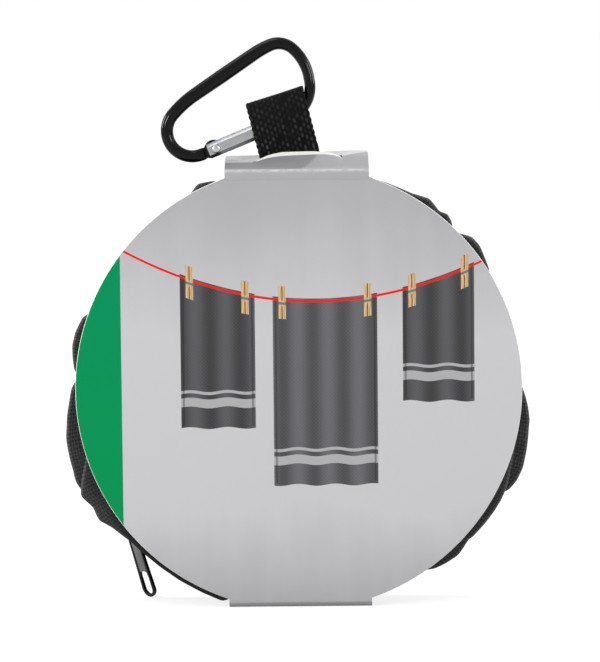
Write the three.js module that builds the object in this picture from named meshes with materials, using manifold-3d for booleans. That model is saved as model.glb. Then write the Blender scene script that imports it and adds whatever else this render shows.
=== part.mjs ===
// Round zip-up peg bag, folded flat and held in a round card sleeve, with a webbing loop
// and a spring-gate carabiner. Millimetres, +Z up, front of the card towards -Y.
// Origin: centre of the flat underside of the sleeve. Angles are in degrees, measured from +X
// towards +Z about the bag's own axis, which runs along Y.
import * as THREE from 'three';
import { mergeVertices } from 'three/addons/utils/BufferGeometryUtils.js';
import Module from 'manifold-3d';

const wasm = await Module();
wasm.setup();

// Fits
const SEAT_GAP = 0.3; // between two pieces that are sewn, laid or riveted together
const RUNNING_GAP = 0.3; // between a moving metal piece and its neighbour

// Card sleeve
const CARD_RADIUS = 75; // front disc
const CARD_THICKNESS = 0.5;
const CARD_FOLD_HEIGHT = 147.8; // bottom fold to top fold, on the front
const PACK_DEPTH = 24; // outside of the front panel to outside of the back strap
const BRIDGE_RISE = 4; // the top bridge climbs towards the back
const TAB_WIDTH = 48.2; // width of the bridges and of the back strap
const FOLD_RADIUS = 1.2;
const SLIT_LENGTH = 28.6;
const SLIT_WIDTH = 5;
const SLIT_CENTRE_X = 1;
const LAP_HEIGHT = 22; // glued overlap of the back strap

// Bag body, with its tube pleated flat behind the card
const BAG_LIFT = 0.3; // bag axis above the centre of the card
const RIM_EASE = 0.8; // room between the rims and the card bridges
const RIM_WIDTH = 1.6; // radial thickness of a bound edge
const PANEL_THICKNESS = 0.7;
const WALL_THICKNESS = 0.8;
const PLEAT_COUNT = 6; // layers of the pleated tube
const PLEAT_PITCH = 1.7;
const PLEAT_INNER_RADIUS = 44;
const PLEAT_ROOT_RADIUS = 52; // bulges begin outside this radius
const BASE_BINDING_DEPTH = 2.2;
const HEM_DEPTH = 3;
const HEM_SETBACK = 0.25; // hem in front of the middle of the last pleat
const LID_BINDING_DEPTH = 1.5;
const LID_BINDING_WIDTH = 2.2;
const LID_BINDING_INSET = 0.4; // from being centred over the edge of the tape

// Places where a pleat bulges out past the card: angle, half width, and reach from the bag axis
// as a share of the card's radius
const PLEAT_BULGES = [
  { fold: 0, angle: 40, spread: 13, reach: 1.031 },
  { fold: 0, angle: 168, spread: 16, reach: 1.033 },
  { fold: 0, angle: 207.5, spread: 21, reach: 1.087 },
  { fold: 0, angle: 338, spread: 24, reach: 1.067 },
  { fold: 1, angle: 54, spread: 14, reach: 1.023 },
  { fold: 1, angle: 72, spread: 10, reach: 1.009 },
  { fold: 1, angle: 118, spread: 8, reach: 1.012 },
  { fold: 1, angle: 196, spread: 30, reach: 1.072 },
  { fold: 1, angle: 229, spread: 20, reach: 1.013 },
  { fold: 1, angle: 247, spread: 20, reach: 1.013 },
  { fold: 1, angle: 312, spread: 14, reach: 1.029 },
  { fold: 1, angle: 351, spread: 16, reach: 1.047 },
];

// Zip round the mouth, on a band that slopes in towards the lid
const ZIP_SLOPE = 18;
const ZIP_SEAT = 0.4; // between the hem and the tape
const ZIP_OVERHANG = 0.4; // front edge of the tape outside the rim
const TAPE_THICKNESS = 0.6;
const TAPE_WIDTH = 2.6; // visible width of each tape
const TEETH_RAIL = 0.7; // moulded bead that carries the teeth
const TOOTH_LENGTH = 1.15;
const TOOTH_WIDTH = 1.6;
const TOOTH_TIP_GAP = 0.25;
const TEETH_THICKNESS = 2.2;
const TOOTH_PITCH = 4;
const TEETH_RIGHT_END = -42; // angle where the teeth begin, far from the parked slider
const STOP_LENGTH = 1.8;
const STOP_THICKNESS = 1.8;
const END_TAB_LENGTH = 8.6;
const END_TAB_THICKNESS = 0.8;
const END_TAB_MARGIN = 0.8; // narrower than the band on each side
const HINGE_THICKNESS = 0.8;

// Zip slider and puller
const SLIDER_ANGLE = 218; // parked at the closed end
const SLIDER_LENGTH = 9;
const SLIDER_NOSE_WIDTH = 6.8;
const SLIDER_TAIL_WIDTH = 5.4;
const SLIDER_PLATE = 0.9;
const SLIDER_CHANNEL = 3; // height between the two plates
const SLIDER_FLANGE = 0.7;
const FLANGE_SLOT = 1.5; // room for the tape between upper and lower flange
const POST_LENGTH = 2.2;
const POST_WIDTH = 1.6;
const POST_SETBACK = 2.75; // its inner end from the slider's nose
const BAIL_LENGTH = 6.4;
const BAIL_WIDTH = 1.8;
const BAIL_BAR = 1;
const BAIL_CHAMFER = 0.38; // height of the sloped shoulders
const BAIL_CHAMFER_ANGLE = 40;
const EYE_BAR = 1.5; // cross bar of the puller, under the bail
const PULLER_LENGTH = 29; // cross bar to tip
const PULLER_NECK_WIDTH = 4.8;
const PULLER_TIP_WIDTH = 5.6;
const PULLER_THICKNESS = 1.1;
const PULLER_ARM = 6.4; // length of the open eye
const PULLER_TWIST = -60; // blade against eye, so that its outer face looks to the front
const PULLER_HOLE_LENGTH = 7.6;
const PULLER_HOLE_WIDTH = 3.6;
const PULLER_RIM = 1; // metal left round the hole and the recess
const PULLER_RECESS_LENGTH = 11;
const PULLER_RECESS_DEPTH = 0.3;
const PULLER_LIFT = 21.4; // angle off the zip at rest

// Webbing loop
const WEB_WIDTH = 20;
const WEB_THICKNESS = 1.4;
const WEB_PLANE_Y = -0.7;
const WEB_FOOT_X = -2.1;
const WEB_LEAN = 14.1; // towards -X
const WEB_HEIGHT = 22; // slit to the top of the fold
const WEB_EYE_WIDTH = 7.8; // widest gap between the two legs
const WEB_STITCHED = 2; // length sewn together above the slit
const WEB_FOOT_RADIUS = 1.5; // rounded foot that the loop bends about

// Carabiner, drawn in its own plane: along the gate from the hinge, and across towards the spine
const BAR_DIAMETER = 4.2;
const GATE_HEIGHT = 5.2;
const GATE_THICKNESS = 4.8;
const GATE_CHAMFER = 0.9; // along its four edges
const GATE_END_CHAMFER = 0.35;
const GATE_LENGTH = 26.5; // rivet to tip
const GATE_HEEL = 2.75; // rivet to the square hinge end
const HINGE_X = -27;
const HINGE_RISE = 6.7; // rivet above the card's top fold
const GATE_TILT = 22.3;
const NOSE_GAP = 0.4;
const NOSE_STRAIGHT = 0.05; // shortest straight end of the nose
const HEEL_STRAIGHT = 5.2;
const HEEL_RADIUS = 8.5;
const HEEL_END_ANGLE = 27.4; // heading of the bar against the gate where this bend ends
const HEEL_EASE_RADIUS = 36.5; // heel opening out into the spine
const SPINE_ANGLE = 11.6; // spine against gate
const SPINE_LENGTH = 24.3;
const SHOULDER_RADIUS = 31; // spine into crown
const SHOULDER_END_ANGLE = 0.6;
const CROWN_RADIUS = 7.3;
const CROWN_END_ANGLE = -64.3;
const SIDE_RADIUS = 16.7; // crown into nose
const SIDE_END_ANGLE = -102.6;
const NOSE_RADIUS = 11;
const TONGUE_THICKNESS = 1.9;
const TONGUE_RADIUS = 3.3;
const TONGUE_SETBACK = 0.9; // centre of its round end behind the rivet
const TONGUE_ROOT = 1.9; // half height where it leaves the bar
const NOSE_TONGUE_HEIGHT = 4;
const NOSE_TONGUE_LENGTH = 4.2;
const RIVET_DIAMETER = 1.8;
const RIVET_HEAD = 2.8;
const RIVET_HEAD_HEIGHT = 0.45;
const LATCH_DIAMETER = 1.6;
const LATCH_SETBACK = 2.3; // latch pin to gate tip
const HINGE_SLOT_DEPTH = 3.7; // beyond the rivet
const TIP_SLOT_DEPTH = 4.8;
const GATE_BORE = 3.2;
const GATE_BORE_END = 17;
const BORE_OVERLAP = 0.5; // bore into the hinge slot
const PLUNGER_LENGTH = 5.8;
const SPRING_WIRE = 0.5;
const SPRING_TURNS = 7;

// Facets
const RIM_STEPS = 48;
const WALL_STEPS = 50;
const CARD_STEPS = 72;
const BAR_SIDES = 10;
const ROUND_SIDES = 16;
const FULL_TURN = 360;

// Derived places
const CARD_CENTRE_Z = CARD_FOLD_HEIGHT / 2;
const FRONT_Y = -PACK_DEPTH / 2;
const BACK_Y = PACK_DEPTH / 2;
const BAG_Z = CARD_CENTRE_Z + BAG_LIFT;
const RIM_RADIUS = CARD_CENTRE_Z - CARD_THICKNESS - RIM_EASE;
const SEAM_RADIUS = RIM_RADIUS - RIM_WIDTH - SEAT_GAP;
const BASE_Y = FRONT_Y + CARD_THICKNESS + SEAT_GAP;
const WALL_Y = BASE_Y + PANEL_THICKNESS + SEAT_GAP + WALL_THICKNESS / 2;
const WALL_END_Y = WALL_Y + PLEAT_PITCH * (PLEAT_COUNT - 1);
const HEM_Y = WALL_END_Y + PLEAT_PITCH / 2 - HEM_DEPTH / 2 - HEM_SETBACK;
const ZIP_Y = HEM_Y + HEM_DEPTH + ZIP_SEAT;
const ZIP_RADIUS = RIM_RADIUS + ZIP_OVERHANG;
const TOOTH_ZONE = TOOTH_LENGTH + TOOTH_TIP_GAP;
const RAIL_START = TAPE_WIDTH + SEAT_GAP;
const RAIL_END = RAIL_START + TEETH_RAIL;
const LID_RAIL_START = RAIL_END + TOOTH_ZONE;
const LID_RAIL_END = LID_RAIL_START + TEETH_RAIL;
const LID_TAPE_START = LID_RAIL_END + SEAT_GAP;
const BAND_WIDTH = LID_TAPE_START + TAPE_WIDTH;
const CHAIN_CENTRE = (RAIL_END + LID_RAIL_START) / 2;
const PIVOT_Z = SLIDER_CHANNEL / 2 + SLIDER_PLATE + RUNNING_GAP + EYE_BAR / 2;

const radians = THREE.MathUtils.degToRad;

function material(color, roughness, metalness = 0) {
  return new THREE.MeshStandardMaterial({ color, roughness, metalness });
}

const MATERIALS = {
  card: material(0xb9b8ba, 0.55),
  fabric: material(0x2c2c2f, 0.9),
  binding: material(0x1d1d1f, 0.85),
  tape: material(0x1b1b1d, 0.9),
  teeth: material(0x18181a, 0.5),
  webbing: material(0x141415, 0.9),
  blackMetal: material(0x0c0c0d, 0.18, 0.6),
  aluminium: material(0xc9cbce, 0.3, 1),
  steel: material(0xa9abad, 0.35, 1),
};

// Mesh helpers

function bare(geometry) {
  const plain = geometry.clone();
  plain.deleteAttribute('normal');
  plain.deleteAttribute('uv');
  return mergeVertices(plain, 1e-4);
}

function toSolid(geometry) {
  const plain = bare(geometry);
  const mesh = new wasm.Mesh({
    numProp: 3,
    vertProperties: new Float32Array(plain.attributes.position.array),
    triVerts: new Uint32Array(plain.index.array),
  });
  mesh.merge();
  return new wasm.Manifold(mesh);
}

function toGeometry(solid) {
  const mesh = solid.getMesh();
  const geometry = new THREE.BufferGeometry();
  geometry.setAttribute('position', new THREE.BufferAttribute(mesh.vertProperties, 3));
  geometry.setIndex(new THREE.BufferAttribute(mesh.triVerts, 1));
  return geometry;
}

function join(first, ...others) {
  const sum = others.reduce((total, piece) => total.add(toSolid(piece)), toSolid(first));
  return toGeometry(sum);
}

function cut(first, ...others) {
  const rest = others.reduce((total, piece) => total.subtract(toSolid(piece)), toSolid(first));
  return toGeometry(rest);
}

function common(first, second) {
  return toGeometry(toSolid(first).intersect(toSolid(second)));
}

function box(low, high) {
  const size = high.map((value, axis) => value - low[axis]);
  const geometry = new THREE.BoxGeometry(...size);
  return geometry.translate(...low.map((value, axis) => value + size[axis] / 2));
}

// Round bar along X, Y or Z, centred on a point
function bar(axis, radius, length, centre, sides = ROUND_SIDES) {
  const geometry = new THREE.CylinderGeometry(radius, radius, length, sides);
  if (axis === 'x') geometry.rotateZ(Math.PI / 2);
  if (axis === 'z') geometry.rotateX(Math.PI / 2);
  return geometry.translate(...centre);
}

// Flat outline in X and Y, thickened from one height to another
function plate(outline, low, high) {
  const settings = { depth: high - low, bevelEnabled: false, curveSegments: 6 };
  return new THREE.ExtrudeGeometry(outline, settings).translate(0, 0, low);
}

// Collects quads, each turned to face away from a point inside its own cell
class QuadMesh {
  constructor() {
    this.corners = [];
  }

  add(a, b, c, d, inside) {
    const middle = a.clone().add(b).add(c).add(d).multiplyScalar(0.25);
    const normal = c.clone().sub(a).cross(d.clone().sub(b));
    const outward = normal.dot(middle.clone().sub(inside)) > 0;
    const order = outward ? [a, b, c, a, c, d] : [a, c, b, a, d, c];
    order.forEach((point) => this.corners.push(point.x, point.y, point.z));
  }

  geometry() {
    const geometry = new THREE.BufferGeometry();
    const positions = new Float32Array(this.corners);
    geometry.setAttribute('position', new THREE.BufferAttribute(positions, 3));
    return mergeVertices(geometry, 1e-4);
  }
}

// Point of a ring piece: radius and Y at an angle about the bag axis
function rimPoint(radius, y, angle) {
  const turn = radians(angle);
  return new THREE.Vector3(radius * Math.cos(turn), y, BAG_Z + radius * Math.sin(turn));
}

// Sweeps a closed section of [radius, y] points about the bag axis. The section may change with
// the angle. A full turn closes on itself and a shorter one gets two end faces.
function sweep(section, from, to, steps) {
  const full = Math.abs(to - from) >= FULL_TURN;
  const stations = full ? steps : steps + 1;
  const count = section(from).length;
  const positions = [];
  for (let i = 0; i < stations; i += 1) {
    const angle = from + ((to - from) * i) / steps;
    section(angle).forEach(([radius, y]) => positions.push(...rimPoint(radius, y, angle).toArray()));
  }
  const index = [];
  for (let i = 0; i < steps; i += 1) {
    const here = i * count;
    const next = ((i + 1) % stations) * count;
    for (let k = 0; k < count; k += 1) {
      const after = (k + 1) % count;
      index.push(here + k, next + k, next + after, here + k, next + after, here + after);
    }
  }
  if (!full) {
    const outline = section(from).map(([radius, y]) => new THREE.Vector2(radius, y));
    const last = steps * count;
    const direction = Math.sign(THREE.ShapeUtils.area(outline));
    THREE.ShapeUtils.triangulateShape(outline, []).forEach((face) => {
      const same = THREE.ShapeUtils.area(face.map((k) => outline[k])) * direction > 0;
      const [a, b, c] = same ? face : [...face].reverse();
      index.push(a, b, c, last + a, last + c, last + b);
    });
  }
  return outwardFacing(positions, index);
}

function outwardFacing(positions, index) {
  const corner = (i) => new THREE.Vector3().fromArray(positions, index[i] * 3);
  let volume = 0;
  for (let i = 0; i < index.length; i += 3) {
    volume += corner(i).dot(corner(i + 1).cross(corner(i + 2)));
  }
  if (volume < 0) {
    for (let i = 0; i < index.length; i += 3) {
      [index[i], index[i + 1]] = [index[i + 1], index[i]];
    }
  }
  const geometry = new THREE.BufferGeometry();
  geometry.setAttribute('position', new THREE.BufferAttribute(new Float32Array(positions), 3));
  geometry.setIndex(index);
  return geometry;
}

const part = new THREE.Group();

function addPiece(name, geometry, finish, parent = part) {
  const mesh = new THREE.Mesh(geometry, finish);
  mesh.name = name;
  parent.add(mesh);
}

// Card sleeve

// Height of the top bridge's outer face at a depth
function bridgeHeight(y) {
  return CARD_FOLD_HEIGHT + (BRIDGE_RISE * (y - FRONT_Y)) / PACK_DEPTH;
}

// Closed outline with each corner rounded
function roundedOutline(points, radius, outline) {
  points.forEach((point, i) => {
    const before = points[(i + points.length - 1) % points.length];
    const after = points[(i + 1) % points.length];
    const start = point.clone().add(before.clone().sub(point).setLength(radius));
    const end = point.clone().add(after.clone().sub(point).setLength(radius));
    if (i === 0) outline.moveTo(start.x, start.y);
    else outline.lineTo(start.x, start.y);
    outline.quadraticCurveTo(point.x, point.y, end.x, end.y);
  });
  outline.closePath();
  return outline;
}

function bandCorners(inset) {
  return [
    new THREE.Vector2(FRONT_Y + inset, inset),
    new THREE.Vector2(BACK_Y - inset, inset),
    new THREE.Vector2(BACK_Y - inset, bridgeHeight(BACK_Y - inset) - inset),
    new THREE.Vector2(FRONT_Y + inset, bridgeHeight(FRONT_Y + inset) - inset),
  ];
}

function cardSleeve() {
  const outline = roundedOutline(bandCorners(0), FOLD_RADIUS, new THREE.Shape());
  const innerRadius = FOLD_RADIUS - CARD_THICKNESS / 2;
  outline.holes.push(roundedOutline(bandCorners(CARD_THICKNESS), innerRadius, new THREE.Path()));
  const settings = { depth: TAB_WIDTH, bevelEnabled: false, curveSegments: 4 };
  const band = new THREE.ExtrudeGeometry(outline, settings);
  band.translate(0, 0, -TAB_WIDTH / 2);
  const axes = [new THREE.Vector3(0, 1, 0), new THREE.Vector3(0, 0, 1), new THREE.Vector3(1, 0, 0)];
  band.applyMatrix4(new THREE.Matrix4().makeBasis(...axes));

  const discCentre = [0, FRONT_Y + CARD_THICKNESS / 2, CARD_CENTRE_Z];
  const disc = bar('y', CARD_RADIUS, CARD_THICKNESS, discCentre, CARD_STEPS);
  const between = box(
    [-2 * CARD_RADIUS, FRONT_Y - 1, FOLD_RADIUS],
    [2 * CARD_RADIUS, FRONT_Y + 1, CARD_FOLD_HEIGHT - FOLD_RADIUS],
  );
  const lap = box(
    [-TAB_WIDTH / 2, BACK_Y - CARD_THICKNESS / 2, CARD_CENTRE_Z - LAP_HEIGHT / 2],
    [TAB_WIDTH / 2, BACK_Y + CARD_THICKNESS, CARD_CENTRE_Z + LAP_HEIGHT / 2],
  );
  const slit = box(
    [SLIT_CENTRE_X - SLIT_LENGTH / 2, WEB_PLANE_Y - SLIT_WIDTH / 2, CARD_FOLD_HEIGHT - BRIDGE_RISE],
    [SLIT_CENTRE_X + SLIT_LENGTH / 2, WEB_PLANE_Y + SLIT_WIDTH / 2, bridgeHeight(BACK_Y) + BRIDGE_RISE],
  );
  return cut(join(band, common(disc, between), lap), slit);
}

addPiece('card_sleeve', cardSleeve(), MATERIALS.card);

// Bag: base, pleated tube, hem

// Bound edge: a rectangle with its two outer corners eased
function boundEdge(innerRadius, outerRadius, front, back) {
  const ease = (outerRadius - innerRadius) / 3;
  return [
    [innerRadius, front],
    [outerRadius - ease, front],
    [outerRadius, front + ease],
    [outerRadius, back - ease],
    [outerRadius - ease, back],
    [innerRadius, back],
  ];
}

function fabricDisc(radius, front) {
  const centre = [0, front + PANEL_THICKNESS / 2, BAG_Z];
  return bar('y', radius, PANEL_THICKNESS, centre, RIM_STEPS);
}

const baseEdge = boundEdge(RIM_RADIUS - RIM_WIDTH, RIM_RADIUS, BASE_Y, BASE_Y + BASE_BINDING_DEPTH);
addPiece('base_panel', fabricDisc(SEAM_RADIUS, BASE_Y), MATERIALS.fabric);
addPiece('base_binding', sweep(() => baseEdge, 0, FULL_TURN, RIM_STEPS), MATERIALS.binding);

// How far a pleat's outer fold is pushed out at an angle
function bulge(fold, angle) {
  return PLEAT_BULGES.filter((swell) => swell.fold === fold).reduce((height, swell) => {
    const turn = Math.abs(((angle - swell.angle + 540) % 360) - 180);
    const window = 0.5 + 0.5 * Math.cos(Math.PI * Math.min(turn / swell.spread, 1));
    return Math.max(height, (swell.reach * CARD_RADIUS - RIM_RADIUS) * window);
  }, 0);
}

// Middle line of the pleated tube with its normals: layers joined by half-round bends,
// alternately at the inner and the outer radius
function pleatLine() {
  const bend = PLEAT_PITCH / 2;
  const innerCentre = PLEAT_INNER_RADIUS + bend;
  const outerCentre = RIM_RADIUS - bend - WALL_THICKNESS / 2;
  const line = [{ radius: SEAM_RADIUS, y: WALL_Y, normal: [0, -1], fold: -1 }];
  for (let layer = 0; layer < PLEAT_COUNT - 1; layer += 1) {
    const inward = layer % 2 === 0;
    const side = inward ? -1 : 1;
    const centre = inward ? innerCentre : outerCentre;
    const middle = WALL_Y + PLEAT_PITCH * (layer + 0.5);
    const fold = inward ? -1 : (layer - 1) / 2;
    [0, 90, 180].forEach((degrees) => {
      const out = Math.sin(radians(degrees));
      const along = -Math.cos(radians(degrees));
      line.push({
        radius: centre + side * bend * out,
        y: middle + bend * along,
        normal: [-out, -side * along],
        fold,
      });
    });
  }
  line.push({ radius: SEAM_RADIUS, y: WALL_END_Y, normal: [0, 1], fold: -1 });
  return line;
}

function bagWall() {
  const line = pleatLine();
  const half = WALL_THICKNESS / 2;
  const section = (angle) => {
    const side = (sign) => line.map(({ radius, y, normal, fold }) => {
      const base = radius + sign * half * normal[0];
      const share = THREE.MathUtils.smoothstep(base, PLEAT_ROOT_RADIUS, RIM_RADIUS);
      const push = fold < 0 ? 0 : bulge(fold, angle) * share;
      return [base + push, y + sign * half * normal[1]];
    });
    return [...side(1), ...side(-1).reverse()];
  };
  return sweep(section, 0, FULL_TURN, WALL_STEPS);
}

addPiece('bag_wall', bagWall(), MATERIALS.fabric);

// Webbing: its width is measured along the slanted foot where it passes the slit
const webFootWidth = WEB_WIDTH / Math.cos(radians(WEB_LEAN));
const webAxisZ = bridgeHeight(WEB_PLANE_Y) + WEB_FOOT_RADIUS + SEAT_GAP / 2;
const tailTop = webAxisZ - WEB_FOOT_RADIUS - SEAT_GAP;
const tailBottom = BAG_Z + SEAM_RADIUS + SEAT_GAP;
const tailLow = [WEB_FOOT_X - webFootWidth / 2, WEB_PLANE_Y - WEB_THICKNESS, tailBottom];
const tailHigh = [WEB_FOOT_X + webFootWidth / 2, WEB_PLANE_Y + WEB_THICKNESS, tailTop];

function mouthHem() {
  const edge = boundEdge(RIM_RADIUS - RIM_WIDTH, RIM_RADIUS, HEM_Y, HEM_Y + HEM_DEPTH);
  const notch = box(
    [tailLow[0] - SEAT_GAP, HEM_Y - 1, BAG_Z],
    [tailHigh[0] + SEAT_GAP, HEM_Y + HEM_DEPTH + 1, BAG_Z + RIM_RADIUS + 2],
  );
  return cut(sweep(() => edge, 0, FULL_TURN, RIM_STEPS), notch);
}

addPiece('mouth_hem', mouthHem(), MATERIALS.binding);

// Zip band

// Radius and Y of a point across the band (from the hem) and above its middle surface
function bandPoint(across, above) {
  const slope = radians(ZIP_SLOPE);
  return [
    ZIP_RADIUS - across * Math.sin(slope) + above * Math.cos(slope),
    ZIP_Y + across * Math.cos(slope) + above * Math.sin(slope),
  ];
}

function bandSection(start, end, low, high) {
  return [bandPoint(start, low), bandPoint(end, low), bandPoint(end, high), bandPoint(start, high)];
}

function bandStrip(start, end, thickness, from, to, steps) {
  const section = bandSection(start, end, -thickness / 2, thickness / 2);
  return sweep(() => section, from, to, steps);
}

// Angle that a length takes up along the zip chain
function arcAngle(length) {
  return THREE.MathUtils.radToDeg(length / bandPoint(CHAIN_CENTRE, 0)[0]);
}

// The teeth stop short of the slider's post; past it come the stop and the tab over the tape ends
const endRun = STOP_LENGTH + SEAT_GAP + END_TAB_LENGTH / 2;
const leftStopAngle = SLIDER_ANGLE + arcAngle(SLIDER_LENGTH / 2 + RUNNING_GAP + STOP_LENGTH / 2);
const leftZipEnd = SLIDER_ANGLE + arcAngle(SLIDER_LENGTH / 2 + RUNNING_GAP + endRun);
const rightStopAngle = TEETH_RIGHT_END - arcAngle(SEAT_GAP + STOP_LENGTH / 2);
const rightZipEnd = TEETH_RIGHT_END - arcAngle(SEAT_GAP + endRun);
const postReach = SLIDER_LENGTH / 2 - POST_SETBACK;
const leftTeethEnd = SLIDER_ANGLE + arcAngle(postReach - RUNNING_GAP);

const bodyTape = bandStrip(0, TAPE_WIDTH, TAPE_THICKNESS, rightZipEnd, leftZipEnd, RIM_STEPS);
const lidTape = bandStrip(LID_TAPE_START, BAND_WIDTH, TAPE_THICKNESS, rightZipEnd, leftZipEnd, RIM_STEPS);
addPiece('zip_tape_body', bodyTape, MATERIALS.tape);
addPiece('zip_tape_lid', lidTape, MATERIALS.tape);

// Row of teeth on a bead. Each row is half a pitch out of step with the other, so they mesh.
function teethRow(outer, inner, tip, shift) {
  const pitch = arcAngle(TOOTH_PITCH);
  const half = arcAngle(TOOTH_WIDTH) / 2;
  const low = -TEETH_THICKNESS / 2;
  const high = TEETH_THICKNESS / 2;
  const at = (across, above, angle) => rimPoint(...bandPoint(across, above), angle);
  const quads = new QuadMesh();
  const beadFaces = (from, to, open) => {
    const centre = at((outer + inner) / 2, 0, (from + to) / 2);
    const bead = [[outer, low], [outer, high], [inner, high], [inner, low]];
    bead.forEach(([across, above], k) => {
      const [nextAcross, nextAbove] = bead[(k + 1) % 4];
      if (k === 2 && !open) return;
      const ends = [at(across, above, from), at(nextAcross, nextAbove, from)];
      const farEnds = [at(nextAcross, nextAbove, to), at(across, above, to)];
      quads.add(...ends, ...farEnds, centre);
    });
  };
  const endFace = (angle, inside) => {
    const corners = [at(outer, low, angle), at(outer, high, angle), at(inner, high, angle)];
    quads.add(...corners, at(inner, low, angle), inside);
  };
  const toothFaces = (from, to) => {
    const centre = at((inner + tip) / 2, 0, (from + to) / 2);
    [[inner, tip, high], [inner, tip, low]].forEach(([root, end, above]) => {
      const near = [at(root, above, from), at(end, above, from)];
      quads.add(...near, at(end, above, to), at(root, above, to), centre);
    });
    quads.add(at(tip, low, from), at(tip, high, from), at(tip, high, to), at(tip, low, to), centre);
    [from, to].forEach((angle) => {
      const near = [at(inner, low, angle), at(inner, high, angle)];
      quads.add(...near, at(tip, high, angle), at(tip, low, angle), centre);
    });
  };
  let edge = TEETH_RIGHT_END;
  endFace(edge, at((outer + inner) / 2, 0, edge + pitch));
  for (let angle = edge + pitch * (0.5 + shift); angle + half < leftTeethEnd; angle += pitch) {
    beadFaces(edge, angle - half, true);
    beadFaces(angle - half, angle + half, false);
    toothFaces(angle - half, angle + half);
    edge = angle + half;
  }
  beadFaces(edge, leftTeethEnd, true);
  endFace(leftTeethEnd, at((outer + inner) / 2, 0, leftTeethEnd - pitch));
  return quads.geometry();
}

const bodyTeeth = teethRow(RAIL_START, RAIL_END, RAIL_END + TOOTH_LENGTH, 0);
const lidTeeth = teethRow(LID_RAIL_END, LID_RAIL_START, LID_RAIL_START - TOOTH_LENGTH, 0.5);
addPiece('zip_teeth_body', bodyTeeth, MATERIALS.teeth);
addPiece('zip_teeth_lid', lidTeeth, MATERIALS.teeth);

// Ends of the zip: a stop across the chain and a folded fabric tab over the tape ends
function zipEnd(side, stopAngle, endAngle) {
  const stopHalf = arcAngle(STOP_LENGTH) / 2;
  const stopSection = bandSection(RAIL_START, LID_RAIL_END, -STOP_THICKNESS / 2, STOP_THICKNESS / 2);
  const stop = sweep(() => stopSection, stopAngle - stopHalf, stopAngle + stopHalf, 2);
  addPiece(`zip_stop_${side}`, stop, MATERIALS.steel);
  const tabHalf = arcAngle(END_TAB_LENGTH) / 2;
  const tabLow = HINGE_THICKNESS / 2 + SEAT_GAP;
  const tabEnds = [END_TAB_MARGIN, BAND_WIDTH - END_TAB_MARGIN];
  const tabSection = bandSection(...tabEnds, tabLow, tabLow + END_TAB_THICKNESS);
  const tab = sweep(() => tabSection, endAngle - tabHalf, endAngle + tabHalf, 4);
  addPiece(`zip_end_tab_${side}`, tab, MATERIALS.binding);
}

zipEnd('left', leftStopAngle, leftZipEnd);
zipEnd('right', rightStopAngle, rightZipEnd);

// Plain strip where the lid stays joined to the tube, below the two zip ends
const hingeGap = arcAngle(SEAT_GAP);
const lidHinge = bandStrip(
  0,
  BAND_WIDTH,
  HINGE_THICKNESS,
  leftZipEnd + hingeGap,
  rightZipEnd + FULL_TURN - hingeGap,
  ROUND_SIDES,
);
addPiece('lid_hinge_strip', lidHinge, MATERIALS.fabric);

// Lid

const [lidSeamRadius, lidSeamY] = bandPoint(BAND_WIDTH, 0);
const lidRimRadius = lidSeamRadius + LID_BINDING_WIDTH / 2 - LID_BINDING_INSET;
const lidRimY = lidSeamY + SEAT_GAP;
const lidRimBack = lidRimY + LID_BINDING_DEPTH;
const lidEdge = boundEdge(lidRimRadius - LID_BINDING_WIDTH, lidRimRadius, lidRimY, lidRimBack);
addPiece('lid_binding', sweep(() => lidEdge, 0, FULL_TURN, RIM_STEPS), MATERIALS.binding);
const lidRadius = lidRimRadius - LID_BINDING_WIDTH - SEAT_GAP;
const lidPanel = fabricDisc(lidRadius, lidRimBack - PANEL_THICKNESS - SEAT_GAP);
addPiece('lid_panel', lidPanel, MATERIALS.fabric);

// Zip slider and puller, in a frame on the chain: X along the zip towards the opening direction,
// Y across towards the lid, Z away from the bag

function chainFrame(angle) {
  const [radius, y] = bandPoint(CHAIN_CENTRE, 0);
  const turn = radians(angle);
  const slope = radians(ZIP_SLOPE);
  const outward = new THREE.Vector3(Math.cos(turn), 0, Math.sin(turn));
  const along = new THREE.Vector3(Math.sin(turn), 0, -Math.cos(turn));
  const across = outward.clone().multiplyScalar(-Math.sin(slope));
  across.y = Math.cos(slope);
  const normal = outward.clone().multiplyScalar(Math.cos(slope));
  normal.y = Math.sin(slope);
  const group = new THREE.Group();
  group.quaternion.setFromRotationMatrix(new THREE.Matrix4().makeBasis(along, across, normal));
  group.position.copy(rimPoint(radius, y, angle));
  part.add(group);
  return group;
}

// Shield outline of the slider: wide nose, rounded, and a narrower tail
function sliderOutline() {
  const nose = SLIDER_NOSE_WIDTH / 2;
  const tail = SLIDER_TAIL_WIDTH / 2;
  const half = SLIDER_LENGTH / 2;
  const outline = new THREE.Shape();
  outline.moveTo(-half + nose / 2, -nose);
  outline.lineTo(-SLIDER_LENGTH / 8, -nose);
  outline.quadraticCurveTo(SLIDER_LENGTH / 8, -tail, half, -tail);
  outline.lineTo(half, tail);
  outline.quadraticCurveTo(SLIDER_LENGTH / 8, tail, -SLIDER_LENGTH / 8, nose);
  outline.lineTo(-half + nose / 2, nose);
  outline.quadraticCurveTo(-half, nose, -half, 0);
  outline.quadraticCurveTo(-half, -nose, -half + nose / 2, -nose);
  return outline;
}

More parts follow.
